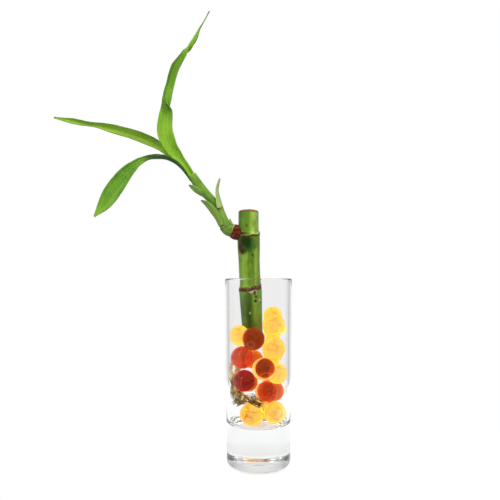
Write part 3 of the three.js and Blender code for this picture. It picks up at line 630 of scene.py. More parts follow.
def collar_wrinkles(t, turn):
    wrinkles = 0.16 * np.sin(11 * turn + 5 * t) + 0.1 * np.sin(23 * turn + 9 * t + 1)
    frayed = 0.14 * np.exp(-(((t - 0.97) / 0.05) ** 2)) * (1 + np.sin(7 * turn))
    return wrinkles * np.sin(t * np.pi) ** 0.5 + frayed


foot_point, foot_direction, _, _ = frames(np.array(SHOOT)[:, :3], np.array([0.0]))
collar_line = [(*(foot_point[0] - foot_direction[0] * back), radius) for back, radius in COLLAR_STEPS]
collar = grid_object("dry_collar", bar_grid(collar_line, 60, 96, collar_wrinkles), closed=True, caps=True)

# %% [markdown]
# Dry scales are papery and matt, with an index near 1.45, a roughness of 0.7 to 0.8 and hardly any shine.
# Their fibres run along the stem, about 0.3 mm wide and drawn at 1 mm, from nearly black in the cracks to
# rusty brown.

# %% Dry papery collar material
COLLAR_SPAN = (27, 7, 1)
COLLAR_BROWNS = [(0.3, "#34130a"), (0.5, "#5e2410"), (0.62, "#84381a"), (0.75, "#b06838")]


def collar_material():
    material, tree, shader = new_material("dry_papery_collar", {"Roughness": 0.75, "IOR": 1.45})
    place = add(tree, "ShaderNodeTexCoord")
    lines = grain(tree, place.outputs["UV"], COLLAR_SPAN, (1.0, 3.5, 1))
    clouds = grain(tree, place.outputs["Object"], OBJECT_SPAN, (2.4, 2.4, 2.4))
    fibres = add(tree, COLOUR_STOPS, {0: lines}, stops=COLLAR_BROWNS)
    base = paint(tree, fibres, [(clouds, 0.5, 0.7, 0.6, "#3a140b"), (clouds, 0.42, 0.3, 0.5, "#9a5c34")])
    bump = add(tree, "ShaderNodeBump", {"Height": lines, "Strength": 0.8, "Distance": 0.3 * MM})
    plug(tree, shader, {"Base Color": base, "Normal": bump})
    return material


finish_piece(collar, collar_material(), "dry_scale", "shoot_collar")

# %% [markdown]
# ## Cane
#
# The cane is a round, slightly bent stalk, and its foot stands further back in the glass than its top.
# Two old leaf scars ring it as low, ragged ridges, and its top was cut square and has dried to a low dome.
# A spun profile could make the stalk, but not scars that slant and fray. So its outline follows a rule of
# height and turn, and the rings of its mesh are laid along that rule. Each scar is a level that rises and
# dips around the cane, with a broad ridge on it and a finer, frayed lip.

# %% Cane scars
CANE_BOTTOM, CANE_TOP = 69.6, 150.9
CANE_TOP_X, CANE_TOP_Y = -6.0, 2.8
CANE_CURVE, CANE_LEAN = 0.00046, 0.095
CANE_RADII = [
    (CANE_BOTTOM, 5.8), (CANE_BOTTOM + 0.7, 6.3), (80, 6.45), (92, 6.8), (101, 7.1), (103.6, 7.1),
    (105.6, 6.5), (112, 6.45), (121, 6.45), (129, 6.8), (136, 6.85), (138, 6.15), (CANE_TOP - 0.7, 6.1),
    (CANE_TOP, 5.5),
]
UPPER_SCAR = {"height": 137.4, "slant": 0.2, "dip": 2.0, "proud": 0.45, "fray": 0.8, "width": 0.55}
LOWER_SCAR = {"height": 104.3, "slant": 1.0, "dip": 0.7, "proud": 0.2, "fray": 0.8, "width": 1.3}
RIDGE_WIDTH, LIP_WIDTH = 0.8, 0.3


def scar_level(scar, turn, frayed=0.0):
    x, y = np.sin(turn), -np.cos(turn)
    angle = np.arctan2(y, x)
    ragged = 0.25 * np.sin(5 * angle + 1) + 0.15 * np.sin(9 * angle)
    fine = 0.12 * np.sin(23 * angle + 2) + 0.1 * np.sin(37 * angle) + 0.08 * np.sin(61 * angle + 1)
    return scar["height"] + scar["slant"] * x + scar["dip"] * y + ragged + frayed * scar["fray"] * fine


def scar_ridge(scar, z, turn):
    broad = scar["proud"] * np.exp(-(((z - scar_level(scar, turn)) / RIDGE_WIDTH) ** 2))
    lip = 0.6 * scar["proud"] * np.exp(-(((z - scar_level(scar, turn, 1.0)) / LIP_WIDTH) ** 2))
    return broad + lip


def scar_paint(scar, z, turn):
    return np.exp(-(((z - scar_level(scar, turn, 1.3) + 0.1) / scar["width"]) ** 2))


# %% Cane shape
CANE_SIDES, CANE_ROWS, CUT_RINGS = 144, 520, 14
CANE_FLUTES = ((0.035, 17, 0.05), (0.05, 5, 0.12))
TOP_DOME = 0.8

z = np.linspace(CANE_BOTTOM, CANE_TOP, CANE_ROWS)[:, None]
turn = np.linspace(0, 2 * np.pi, CANE_SIDES, endpoint=False)[None, :]
radii = np.array(CANE_RADII)
radius = np.interp(z[:, 0], radii[:, 0], radii[:, 1])[:, None]
radius = radius + scar_ridge(UPPER_SCAR, z, turn) + scar_ridge(LOWER_SCAR, z, turn)
radius = radius + sum(height * np.sin(count * turn + drift * z) for height, count, drift in CANE_FLUTES)
below = CANE_TOP - z
middle_x, middle_y = CANE_TOP_X + CANE_CURVE * below**2, CANE_TOP_Y + CANE_LEAN * below
skin = [middle_x + radius * np.sin(turn), middle_y - radius * np.cos(turn), z * np.ones_like(turn)]

shrink = np.linspace(0.96, 0.06, CUT_RINGS)[:, None]
cut_radius = radius[-1] * shrink
cut_height = CANE_TOP + TOP_DOME * (1 - shrink**2) + 0.06 * np.sin(9 * turn) * shrink * (1 - shrink)
cut = [CANE_TOP_X + cut_radius * np.sin(turn), CANE_TOP_Y - cut_radius * np.cos(turn), cut_height]
cane_grid = np.vstack([np.stack(skin, axis=-1), np.stack(cut, axis=-1)])
cane = grid_object("green_cane", cane_grid, closed=True, caps=True)
print("cane from", CANE_BOTTOM, "to", CANE_TOP, "mm")

# %% [markdown]
# The paint has to know where the scars, the cut and the three sections of the cane are. The shader could
# work out the scars again from its coordinates, but the numbers would then stand in two places. So the
# same rule stores three marks on the points of the mesh, and the material reads them. The last two points
# are the middles of the two caps.

# %% Scar, cut and section marks stored on the mesh
scar_marks = np.maximum(scar_paint(UPPER_SCAR, z, turn), scar_paint(LOWER_SCAR, z, turn))
sections = sum(np.clip((z - scar_level(scar, turn)) / 0.6 + 0.5, 0, 1) for scar in (UPPER_SCAR, LOWER_SCAR))
for name, on_skin, on_cut, on_caps in (
    ("scar", scar_marks, 0, (0, 0)),
    ("cut", np.zeros_like(scar_marks), 1, (0, 1)),
    ("section", sections, 2, (0, 2)),
):
    layer = cane.data.attributes.new(name, "FLOAT", "POINT")
    values = np.concatenate([np.vstack([on_skin, np.full(cut_radius.shape, on_cut)]).ravel(), on_caps])
    layer.data.foreach_set("value", values.astype(np.float32))
print(len(values), "points carry the marks")

# %% [markdown]
# The skin of a cane is a living bark under wax: it gives the eye a satin streak of light lengthwise, with
# an index of 1.45 and a roughness near 0.36, while a scar is corky and matt. It is streaked with fibres,
# really 0.1 to 0.3 mm wide and drawn at 0.77 mm. Above the upper scar it is lightest, and below the lower
# one it has turned darker, with corky dots. From the left edge of the cane to its right edge the greens
# carry painted light and shade, in lit and shaded bands. Every stain, and each of two pale painted glints,
# is a soft patch around a point on the front of the cane: its middle, its reach, its colour and how much
# it covers.

# %% Colours of the cane
LEFT_EDGE, RIGHT_EDGE = -12.5, 0.8
# from the cane's left edge to its right edge these ramps add painted light and shade to its greens
STUB_GREENS_AND_SHADE = [
    (0.0, "#5f8530"), (0.25, "#678f30"), (0.5, "#6d962f"), (0.66, "#93b840"), (0.8, "#b4d45c"),
    (0.94, "#a9c95c"), (1.0, "#84a548")]
UPPER_GREENS_AND_SHADE = [
    (0.0, "#769a38"), (0.12, "#96bb44"), (0.4, "#8cb03c"), (0.52, "#6a8f2a"), (0.8, "#6c912a"),
    (0.9, "#9fbf50"), (1.0, "#7b9c40")]
LOWER_GREENS_AND_SHADE = [
    (0.0, "#7ba04e"), (0.15, "#7ca246"), (0.36, "#5a8834"), (0.5, "#2e5c14"), (0.62, "#305c12"),
    (0.74, "#648e26"), (0.9, "#96ba3c"), (1.0, "#6f9f48")]
SCAR_BROWNS = [(0.34, "#24150b"), (0.46, "#432616"), (0.58, "#6e4528"), (0.72, "#a07a58")]
PITH = [(0.35, "#6d6242"), (0.6, "#9a8d68"), (0.8, "#b7aa84")]
STAINS_AND_GLINTS = [
    ((-12.2, -2.0, 136.6), (2.2, 6.0, 1.6), "#54200f", 1.0),
    ((-2.6, -3.0, 132.0), (5.5, 7.0, 4.2), "#5c8430", 0.8),
    ((-4.6, -3.0, 129.6), (3.0, 7.0, 4.0), "#3f6a1e", 0.8),
    ((-10.6, -3.0, 133.2), (4.0, 7.0, 3.2), "#2c4a1a", 0.95),
    ((-7.6, -3.0, 131.6), (3.4, 7.0, 5.2), "#1e3a0e", 1.0),
    ((-8.8, -3.0, 127.2), (2.6, 6.0, 2.6), "#33551a", 0.9),
    ((-11.6, -1.5, 128.8), (1.8, 5.0, 3.6), "#4b2016", 1.0),
    ((-10.2, -2.5, 126.0), (1.8, 4.0, 2.0), "#33220e", 0.95),
    ((-9.4, -2.8, 123.6), (1.5, 3.0, 1.3), "#7d8f5c", 0.5),
    ((-3.6, -3.5, 124.2), (0.75, 3.0, 0.95), "#10160a", 1.0),
    ((-3.0, -3.5, 123.2), (0.7, 3.0, 0.9), "#10160a", 1.0),
    ((-4.2, -3.2, 120.2), (1.4, 3.0, 2.4), "#4c7022", 0.7),
    ((-5.2, -3.2, 113.5), (1.5, 3.0, 4.6), "#4f7a22", 0.5),
    ((-7.1, -3.6, 141.4), (0.8, 3.0, 1.1), "#4c5a18", 0.8),
    ((-7.6, -3.6, 135.9), (1.6, 3.0, 0.8), "#7c8a2c", 0.6),
    ((-11.0, -2.5, 148.2), (3.0, 5.0, 2.0), "#5a7d3c", 0.5),
    ((-7.6, 0.6, 103.4), (2.2, 3.0, 1.2), "#2a1a0e", 0.95),
    ((-4.2, 0.4, 102.6), (1.7, 3.0, 1.5), "#c9ccb4", 0.85),
    ((-1.9, 0.9, 103.2), (1.3, 3.0, 1.3), "#c48f86", 0.9),
    ((-2.4, 0.9, 101.4), (0.9, 3.0, 1.3), "#5a3312", 1.0),
    ((-1.5, 1.2, 99.0), (1.0, 3.0, 1.2), "#6b3a10", 1.0),
    ((-1.8, 1.4, 96.6), (0.9, 3.0, 1.0), "#140f06", 1.0),
    # the next two pale spots are painted glints, small highlights on the skin, not stains
    ((0.9, 3.0, 97.0), (0.5, 3.0, 0.7), "#dfe8b0", 0.7),
    ((-5.1, 1.8, 89.2), (0.4, 3.0, 0.8), "#cfe6b8", 0.8),
    ((-6.6, 1.0, 97.5), (2.0, 4.0, 5.5), "#5c6a2a", 0.5),
    ((-4.0, 2.8, 82.0), (3.2, 4.0, 3.4), "#4a4f1c", 0.5),
    ((-10.6, -1.5, 137.0), (3.0, 6.0, 0.8), "#4a1c10", 1.0),
    ((-12.4, -1.0, 139.6), (0.8, 6.0, 2.4), "#6a2c14", 0.9),
]
print(len(STAINS_AND_GLINTS), "stains")

# %% Waxy cane skin material
DOT_SPACING = 1.6
DOT_RARITY = 0.66
GREEN_WANDER = 2.5


def cane_material():
    material, tree, shader = new_material("waxy_cane_skin", {"IOR": 1.45, "Specular IOR Level": 0.3})
    spot = add(tree, "ShaderNodeTexCoord").outputs["Object"]
    split = add(tree, "ShaderNodeSeparateXYZ", {0: spot})
    fibres = grain(tree, spot, OBJECT_SPAN, (0.77, 0.77, 22))
    broad = grain(tree, spot, OBJECT_SPAN, (3.3, 3.3, 45))
    clouds = grain(tree, spot, OBJECT_SPAN, (4.3, 4.3, 6.2))
    ragged = grain(tree, spot, OBJECT_SPAN, (1.1, 1.1, 2))
    section, scar, cut = (
        add(tree, "ShaderNodeAttribute", attribute_name=name).outputs["Fac"]
        for name in ("section", "scar", "cut"))
    # painted light and shade: the place across the cane picks a lit or a shaded green
    leaned = {0: broad, 1: GREEN_WANDER * MM, 2: split.outputs["X"]}
    leaned = add(tree, "ShaderNodeMath", leaned, operation="MULTIPLY_ADD")
    left, right = ((edge + GREEN_WANDER / 2) * MM for edge in (LEFT_EDGE, RIGHT_EDGE))
    shade_band = add(tree, "ShaderNodeMapRange", {0: leaned, 1: left, 2: right}, interpolation_type="SMOOTHSTEP")
    lower, upper, stub = (
        add(tree, COLOUR_STOPS, {0: shade_band}, stops=greens)
        for greens in (LOWER_GREENS_AND_SHADE, UPPER_GREENS_AND_SHADE, STUB_GREENS_AND_SHADE))
    coats = [
        (section, 0.2, 0.8, 1.0, upper),
        (section, 1.2, 1.8, 1.0, stub),
        (clouds, 0.46, 0.68, 0.45, "#446c1c"),
        (fibres, 0.52, 0.78, 0.35, "#b3cf6c"),
        (fibres, 0.45, 0.25, 0.4, "#46701c"),
    ]
    for middle, size, code, most in STAINS_AND_GLINTS:
        coats.append((spot_mark(tree, spot, ragged, middle, size), 1.9, 1.0, most, code))

    # Corky dots: in a few cells of a cell pattern, fewer on the left and none above the lower scar
    dots = add(tree, "ShaderNodeTexVoronoi", {"Vector": spot, "Scale": 1 / (DOT_SPACING * MM)})
    chosen = add(tree, "ShaderNodeSeparateColor", {0: dots.outputs["Color"]})
    under = add(tree, "ShaderNodeMapRange", {0: section, 2: 0.4, 3: 0.0, 4: 1.0})
    sparse = {0: split.outputs["X"], 1: -6 * MM, 2: -1.5 * MM, 3: 0.2, 4: 0.0}
    sparse = add(tree, "ShaderNodeMapRange", sparse)
    rare = add(tree, "ShaderNodeMath", {0: chosen, 1: sparse}, operation="SUBTRACT")
    rare = add(tree, "ShaderNodeMath", {0: rare, 1: under}, operation="SUBTRACT")
    rare = add(tree, "ShaderNodeMath", {0: rare, 1: DOT_RARITY}, operation="GREATER_THAN")
    dot = add(tree, "ShaderNodeMath", {0: dots, 1: -1.0, 2: rare}, operation="MULTIPLY_ADD")
    soft_scar = add(tree, "ShaderNodeMath", {0: ragged, 1: 1.2, 2: scar}, operation="MULTIPLY_ADD")
    scar_colour = add(tree, COLOUR_STOPS, {0: ragged}, stops=SCAR_BROWNS)
    pith = add(tree, COLOUR_STOPS, {0: ragged}, stops=PITH)
    torn = {0: ragged, 1: 1.2 * MM, 2: split.outputs["Z"]}
    torn = add(tree, "ShaderNodeMath", torn, operation="MULTIPLY_ADD")
    coats += [
        (dot, 0.74, 0.88, 0.8, "#5b3a1c"),
        (soft_scar, 1.0, 1.25, 0.97, scar_colour),
        (torn, (CANE_TOP - 1.0) * MM, (CANE_TOP - 0.4) * MM, 0.9, "#7d5a38"),
        (cut, 0.1, 0.9, 1.0, pith),
    ]
    base = paint(tree, lower, coats)
    relief = add(tree, "ShaderNodeMath", {0: ragged, 1: 0.8, 2: fibres}, operation="MULTIPLY_ADD")
    bump = add(tree, "ShaderNodeBump", {"Height": relief, "Strength": 0.3, "Distance": 0.15 * MM})
    rough = add(tree, "ShaderNodeMapRange", {0: scar, 1: 0.2, 2: 0.7, 3: 0.36, 4: 0.75})
    plug(tree, shader, {"Base Color": base, "Normal": bump, "Roughness": rough})
    return material


finish_piece(cane, cane_material(), "cane_skin", "cane")

# %% [markdown]
# ## Roots
#
# Seven strands grow from the cut end of the cane, run down along the glass and tangle under the dark
# beads, with side roots branching off. The real tangle is one grown piece of many threads, some under
# half a millimetre thick. The solid model holds their routes, thick enough to be solid. Here a copy of it
# is merged and subdivided, which rounds the strands, before the finer threads are made from it.

# %% Smooth copy of the roots
WELD_DISTANCE = 0.002

root_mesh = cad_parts["roots"].data.copy()
root_mesh.materials.clear()
weld = bmesh.new()
weld.from_mesh(root_mesh)
bmesh.ops.remove_doubles(weld, verts=weld.verts, dist=WELD_DISTANCE * MM)
for face in weld.faces:
    face.smooth = True
weld.to_mesh(root_mesh)
weld.free()
roots = bpy.data.objects.new("root_tangle", root_mesh)
bpy.context.scene.collection.objects.link(roots)
rounding = roots.modifiers.new("rounding", "SUBSURF")
rounding.levels = rounding.render_levels = 1
applied(roots)
print("rounded roots of", len(roots.data.polygons), "faces")

# %% [markdown]
# Root skin is a thin wet bark: straw to orange where it is young, dark brown where it is old and low in
# the glass. Wet bark has a roughness of about 0.5. Between beads a root gets light from all sides, more
# than a render follows, and a faint glow of its own colour stands in for that. The bark's flecks are
# really 0.2 to 0.3 mm wide, and drawn at 0.8 mm.

# %% Thin root bark material
ROOT_BROWNS = [(0.36, "#6c4c14"), (0.44, "#c49840"), (0.52, "#e8c068"), (0.66, "#fce8ac")]
OLD_BELOW = 55
OLD_FULLY_BELOW = 52
OLD_WANDER = 22


def root_material():
    material, tree, shader = new_material(
        "thin_root_bark", {"Roughness": 0.5, "IOR": 1.45, "Emission Strength": 0.3})
    spot = add(tree, "ShaderNodeTexCoord").outputs["Object"]
    clouds = grain(tree, spot, OBJECT_SPAN, (3.4, 3.4, 5.2))
    fine = grain(tree, spot, OBJECT_SPAN, (0.8, 0.8, 0.8))
    ages = add(tree, COLOUR_STOPS, {0: clouds}, stops=ROOT_BROWNS)
    height = add(tree, "ShaderNodeSeparateXYZ", {0: spot}).outputs["Z"]
    low = add(tree, "ShaderNodeMath", {0: clouds, 1: OLD_WANDER * MM, 2: height}, operation="MULTIPLY_ADD")
    base = paint(tree, ages, [
        (fine, 0.52, 0.75, 0.4, "#5a3c1e"),
        (low, OLD_BELOW * MM, OLD_FULLY_BELOW * MM, 0.75, "#4c3008"),
    ])
    bump = add(tree, "ShaderNodeBump", {"Height": fine, "Strength": 0.5, "Distance": 0.15 * MM})
    plug(tree, shader, {"Base Color": base, "Emission Color": base, "Normal": bump})
    return material


root_skin = root_material()

# %% [markdown]
# A Geometry Nodes tree grows the threads, because they follow the surface of the solid roots and repeat.
# It slims the roots to a rough core, and lets slimmed copies of them wander off sideways as finer threads.
# How far a strand can be slimmed is measured: a ray goes straight in from each point to the far side, so
# that no strand turns inside out.
# `new_tree` starts a tree with named inputs, and `run_tree` sets them by their identifiers and keeps the
# result as a plain mesh.

# %% Geometry Nodes helpers
def new_tree(name, sockets):
    tree = bpy.data.node_groups.new(name, "GeometryNodeTree")
    tree.interface.new_socket("Geometry", in_out="INPUT", socket_type="NodeSocketGeometry")
    for label, kind, value in sockets:
        socket = tree.interface.new_socket(label, in_out="INPUT", socket_type=kind)
        if value is not None:
            socket.default_value = value
    tree.interface.new_socket("Geometry", in_out="OUTPUT", socket_type="NodeSocketGeometry")
    return tree, add(tree, "NodeGroupInput").outputs, add(tree, "NodeGroupOutput")


def run_tree(piece, tree, values):
    modifier = piece.modifiers.new(tree.name, "NODES")
    modifier.node_group = tree
    for item in tree.interface.items_tree:
        if item.in_out == "INPUT" and item.name in values:
            modifier[item.identifier] = values[item.name]
    applied(piece)


# %% Slim core and wandering threads
BARK_FLECK = 1.1
THREAD_COUNT = 6
THREAD_BEND = 10.5
UNDER_SKIN = 0.02
RAY_LENGTH = 20

root_tree, given, result = new_tree("root_threads", [
    ("Bark Depth", "NodeSocketFloat", 0.06 * MM),
    ("Thread Spread", "NodeSocketFloat", 7 * MM),
    ("Most Slimming", "NodeSocketFloat", 0.68 * MM),
    ("Slimming Share", "NodeSocketFloat", 0.78),
    ("Rootlets Per Square Metre", "NodeSocketFloat", 90_000),
    ("Rootlet Length", "NodeSocketFloat", 3.0 * MM),
    ("Rootlet Radius", "NodeSocketFloat", 0.06 * MM),
    ("Rootlet Bow", "NodeSocketFloat", 0.5 * MM),
    ("Room", "NodeSocketFloat", 14.2 * MM),
    ("Seed", "NodeSocketInt", 4),
    ("Skin", "NodeSocketMaterial", None),
])
spot = add(root_tree, "GeometryNodeInputPosition")
normal = add(root_tree, "GeometryNodeInputNormal")
inward = add(root_tree, "ShaderNodeVectorMath", {0: normal, "Scale": -1.0}, operation="SCALE")
start = {0: inward, 1: (UNDER_SKIN * MM,) * 3, 2: spot}
start = add(root_tree, "ShaderNodeVectorMath", start, operation="MULTIPLY_ADD")
far_side = add(root_tree, "GeometryNodeRaycast", {
    "Target Geometry": given["Geometry"], "Source Position": start, "Ray Direction": inward,
    "Ray Length": RAY_LENGTH * MM})
half = add(root_tree, "ShaderNodeMath", {0: far_side.outputs["Hit Distance"], 1: 0.5}, operation="MULTIPLY")
slim = add(root_tree, "ShaderNodeMath", {0: half, 1: given["Slimming Share"]}, operation="MULTIPLY")
slim = add(root_tree, "ShaderNodeMath", {0: slim, 1: given["Most Slimming"]}, operation="MINIMUM")

bark = add(root_tree, "ShaderNodeTexNoise", {"Vector": spot, "Scale": 1 / (BARK_FLECK * MM)})
height = add(root_tree, "ShaderNodeMath", {0: bark, 1: 0.5}, operation="SUBTRACT")
height = add(root_tree, "ShaderNodeMath", {0: height, 1: given["Bark Depth"]}, operation="MULTIPLY")
height = add(root_tree, "ShaderNodeMath", {0: height, 1: slim}, operation="SUBTRACT")
push = add(root_tree, "ShaderNodeVectorMath", {0: normal, "Scale": height}, operation="SCALE")
core = add(root_tree, "GeometryNodeSetPosition", {"Geometry": given["Geometry"], "Offset": push})

thinned = add(root_tree, "ShaderNodeVectorMath", {0: inward, "Scale": slim}, operation="SCALE")
threads = []
for number in range(THREAD_COUNT):
    wander = {"Vector": spot, "W": 3.7 * number, "Scale": 1 / (THREAD_BEND * MM), "Detail": 1.0}
    wander = add(root_tree, "ShaderNodeTexNoise", wander, noise_dimensions="4D").outputs["Color"]
    wander = add(root_tree, "ShaderNodeVectorMath", {0: wander, 1: (0.5, 0.5, 0.5)}, operation="SUBTRACT")
    spread = {0: wander, "Scale": given["Thread Spread"]}
    wander = add(root_tree, "ShaderNodeVectorMath", spread, operation="SCALE")
    moved = add(root_tree, "ShaderNodeVectorMath", {0: wander, 1: thinned}, operation="ADD")
    thread = add(root_tree, "GeometryNodeSetPosition", {"Geometry": given["Geometry"], "Offset": moved})
    threads.append(thread)
print("one core and", len(threads), "threads")

# %% [markdown]
# Short rootlets stand off the tangle. They could be modelled one by one, but there are dozens and no two
# lean alike, so they are sown at random over the surface of the solid roots, only where they have room
# inside the glass. They are 3 mm long and 0.12 mm thick, so the picture shows them only as a faint
# roughness of the tangle.

# %% Rootlets
flat = add(root_tree, "ShaderNodeVectorMath", {0: spot, 1: (1, 1, 0)}, operation="MULTIPLY")
reach = add(root_tree, "ShaderNodeVectorMath", {0: flat}, operation="LENGTH")
inside = {0: reach, 1: given["Room"]}
inside = add(root_tree, "FunctionNodeCompare", inside, data_type="FLOAT", operation="LESS_THAN")
sown = add(root_tree, "GeometryNodeDistributePointsOnFaces", {
    "Mesh": given["Geometry"], "Selection": inside, "Density": given["Rootlets Per Square Metre"],
    "Seed": given["Seed"]})
end = add(root_tree, "ShaderNodeCombineXYZ", {"Z": given["Rootlet Length"]})
line = add(root_tree, "GeometryNodeCurvePrimitiveLine", {"End": end})
line = add(root_tree, "GeometryNodeResampleCurve", {"Curve": line, "Count": 4})
share = add(root_tree, "GeometryNodeSplineParameter").outputs["Factor"]
bow = add(root_tree, "ShaderNodeMath", {0: share, 1: 2.0}, operation="POWER")
bow = add(root_tree, "ShaderNodeMath", {0: bow, 1: given["Rootlet Bow"]}, operation="MULTIPLY")
lean = add(root_tree, "ShaderNodeCombineXYZ", {"X": bow})
line = add(root_tree, "GeometryNodeSetPosition", {"Geometry": line, "Offset": lean})
ring = {"Resolution": 3, "Radius": given["Rootlet Radius"]}
ring = add(root_tree, "GeometryNodeCurvePrimitiveCircle", ring)
rootlet = add(root_tree, "GeometryNodeCurveToMesh", {"Curve": line, "Profile Curve": ring, "Fill Caps": True})
spin = {"Min": (-0.5, -0.5, 0.0), "Max": (0.5, 0.5, 6.28), "Seed": given["Seed"]}
spin = add(root_tree, "FunctionNodeRandomValue", spin, data_type="FLOAT_VECTOR")
planted = {"Points": sown, "Instance": rootlet, "Rotation": sown.outputs["Rotation"]}
planted = add(root_tree, "GeometryNodeInstanceOnPoints", planted)
planted = add(root_tree, "GeometryNodeRotateInstances", {"Instances": planted, "Rotation": spin})
grown = add(root_tree, "GeometryNodeRealizeInstances", {"Geometry": planted})
print(len(root_tree.nodes), "nodes in the root tree so far")

# %% Join, paint and run the root tree
joined = add(root_tree, "GeometryNodeJoinGeometry")
for part in (core, grown, *threads):
    plug(root_tree, joined, {0: part})
painted = add(root_tree, "GeometryNodeSetMaterial", {"Geometry": joined, "Material": given["Skin"]})
plug(root_tree, result, {"Geometry": painted})

run_tree(roots, root_tree, {"Skin": root_skin})
finish_piece(roots, root_skin, "root_bark", "roots")

# %% [markdown]
# ## Glass
#
# A narrow tumbler with a thick clear base, pressed or blown into a form. A Screw modifier could turn its
# outline, and a grid of rings does the same with the UV map and the caps that are here already.
# The outline is drawn once, from the middle of the foot up the outside, over the rounded lip and down the
# inside to the floor. The foot has a shallow hollow, as a tumbler needs to stand still.

# %% Glass outline
GLASS_HEIGHT, RIM_RADIUS, BASE_RADIUS, WALL = 110.0, 20.0, 19.0, 1.9
HEEL_RADIUS, FLOOR_HEIGHT, FLOOR_FILLET = 3.0, 24.5, 3.0
HOLLOW_RADIUS, HOLLOW_HEIGHT = 7.5, 0.5
AXIS_GAP = 0.4
GLASS_SIDES = 160


def arc(across, height, radius, start, end, steps):
    angles = np.radians(np.linspace(start, end, steps + 1))
    return [(across + radius * math.cos(a), height + radius * math.sin(a)) for a in angles]


def outer_radius(height):
    return BASE_RADIUS + (RIM_RADIUS - BASE_RADIUS) * height / GLASS_HEIGHT


def hollow_height(radius):
    return HOLLOW_HEIGHT * math.cos(radius / HOLLOW_RADIUS * math.pi / 2) ** 2


lip = WALL / 2
fillet_top = FLOOR_HEIGHT + FLOOR_FILLET
fillet_middle = outer_radius(fillet_top) - WALL - FLOOR_FILLET
outline = [(r, hollow_height(r)) for r in np.linspace(AXIS_GAP, HOLLOW_RADIUS, 14)]
outline += arc(BASE_RADIUS - HEEL_RADIUS, HEEL_RADIUS, HEEL_RADIUS, -90, 0, 10)
outline += [(outer_radius(h), h) for h in np.linspace(8, 104, 13)]
outline += arc(RIM_RADIUS - lip, GLASS_HEIGHT - lip, lip, 0, 180, 14)
outline += [(outer_radius(h) - WALL, h) for h in np.linspace(104, 32, 10)]
outline += arc(fillet_middle, fillet_top, FLOOR_FILLET, 0, -90, 10)
outline += [(r, FLOOR_HEIGHT) for r in np.linspace(fillet_middle - 2, AXIS_GAP, 7)]
outline = np.array(outline)
turn = np.linspace(0, 2 * np.pi, GLASS_SIDES, endpoint=False)[None, :]
across, height = outline[:, :1], outline[:, 1:]
glass_grid = np.stack([across * np.cos(turn), across * np.sin(turn), height * np.ones_like(turn)], axis=-1)
glass = grid_object("tall_glass", glass_grid, closed=True, caps=True)
print("glass outline of", len(outline), "points")

# %% [markdown]
# Soda-lime glass has a typical index of 1.52, is perfectly smooth and is all but colourless, so it shows
# only by its edges, its base and what it bends. Here the index is 1.5. The glass takes away more light
# than real clear glass does, so that the thick base reads a soft grey. Forming leaves slow waves in the
# wall, about 9 mm wide, and the foot is ground slightly dull where it stands.

# %% Clear glass material
GLASS_TINT = "#d3d9d6"
GLASS_DENSITY = 12.0
GROUND_FOOT = 0.08
GROUND_UP_TO, GROUND_FULLY_TO = 1.0, 0.2
WAVE_WIDTH, WAVE_LENGTH, WAVE_HEIGHT = 9, 30, 0.05


def glass_material():
    material, tree, shader = new_material(
        "clear_soda_lime_glass", {"Base Color": "#ffffff", "IOR": 1.5, "Transmission Weight": 1.0})
    spot = add(tree, "ShaderNodeTexCoord").outputs["Object"]
    flow = grain(tree, spot, OBJECT_SPAN, (WAVE_WIDTH, WAVE_WIDTH, WAVE_LENGTH), detail=1.0)
    bump = add(tree, "ShaderNodeBump", {"Height": flow, "Strength": 0.5, "Distance": WAVE_HEIGHT * MM})
    height = add(tree, "ShaderNodeSeparateXYZ", {0: spot}).outputs["Z"]
    ground = {0: height, 1: GROUND_UP_TO * MM, 2: GROUND_FULLY_TO * MM, 4: GROUND_FOOT}
    ground = add(tree, "ShaderNodeMapRange", ground)
    plug(tree, shader, {"Normal": bump, "Roughness": ground})
    absorption = add(tree, "ShaderNodeVolumeAbsorption", {"Color": GLASS_TINT, "Density": GLASS_DENSITY})
    plug(tree, tree.nodes["Material Output"], {"Volume": absorption})
    return material


finish_piece(glass, glass_material(), "clear_glass", "glass")

# %% [markdown]
# ## Water beads
#
# The beads are balls of clear gel swollen with water, each with a core inside a skin. Light goes through
# them hardly bent, and the dye takes away blue and green along its way, so a dyed bead is darkest where
# the light crosses its middle and glows at its rim. That is absorption inside the volume, not paint on
# the surface: each gel states its loss of red, green and blue per metre. Gel has a typical index of 1.34,
# in air. Beads that lie in water bend light far less, and these look like that, so 1.04 is used. Real gel
# also gathers light from the whole room and gives it back all over. Following that light would take very
# long, so a glow of the gel stands in for it.

# %% [markdown]
# Faint lines of glow, a few millimetres apart, are painted light: they stand in for the bent outlines of
# the beads around. In some dark beads the gel bends the room and the beads behind into clear rings, and
# in one into a bright halo. Gel that bends light this little can't form them, so they are drawn, around a
# line that runs towards the viewer. They look right only from the front half.

# %% Gel materials
GEL_INDEX = 1.04
COAT_INDEX = 1.4
OUTLINE_SPACING = 7.5
OUTLINE_WANDER = 4
RING_WIDTH = 0.35


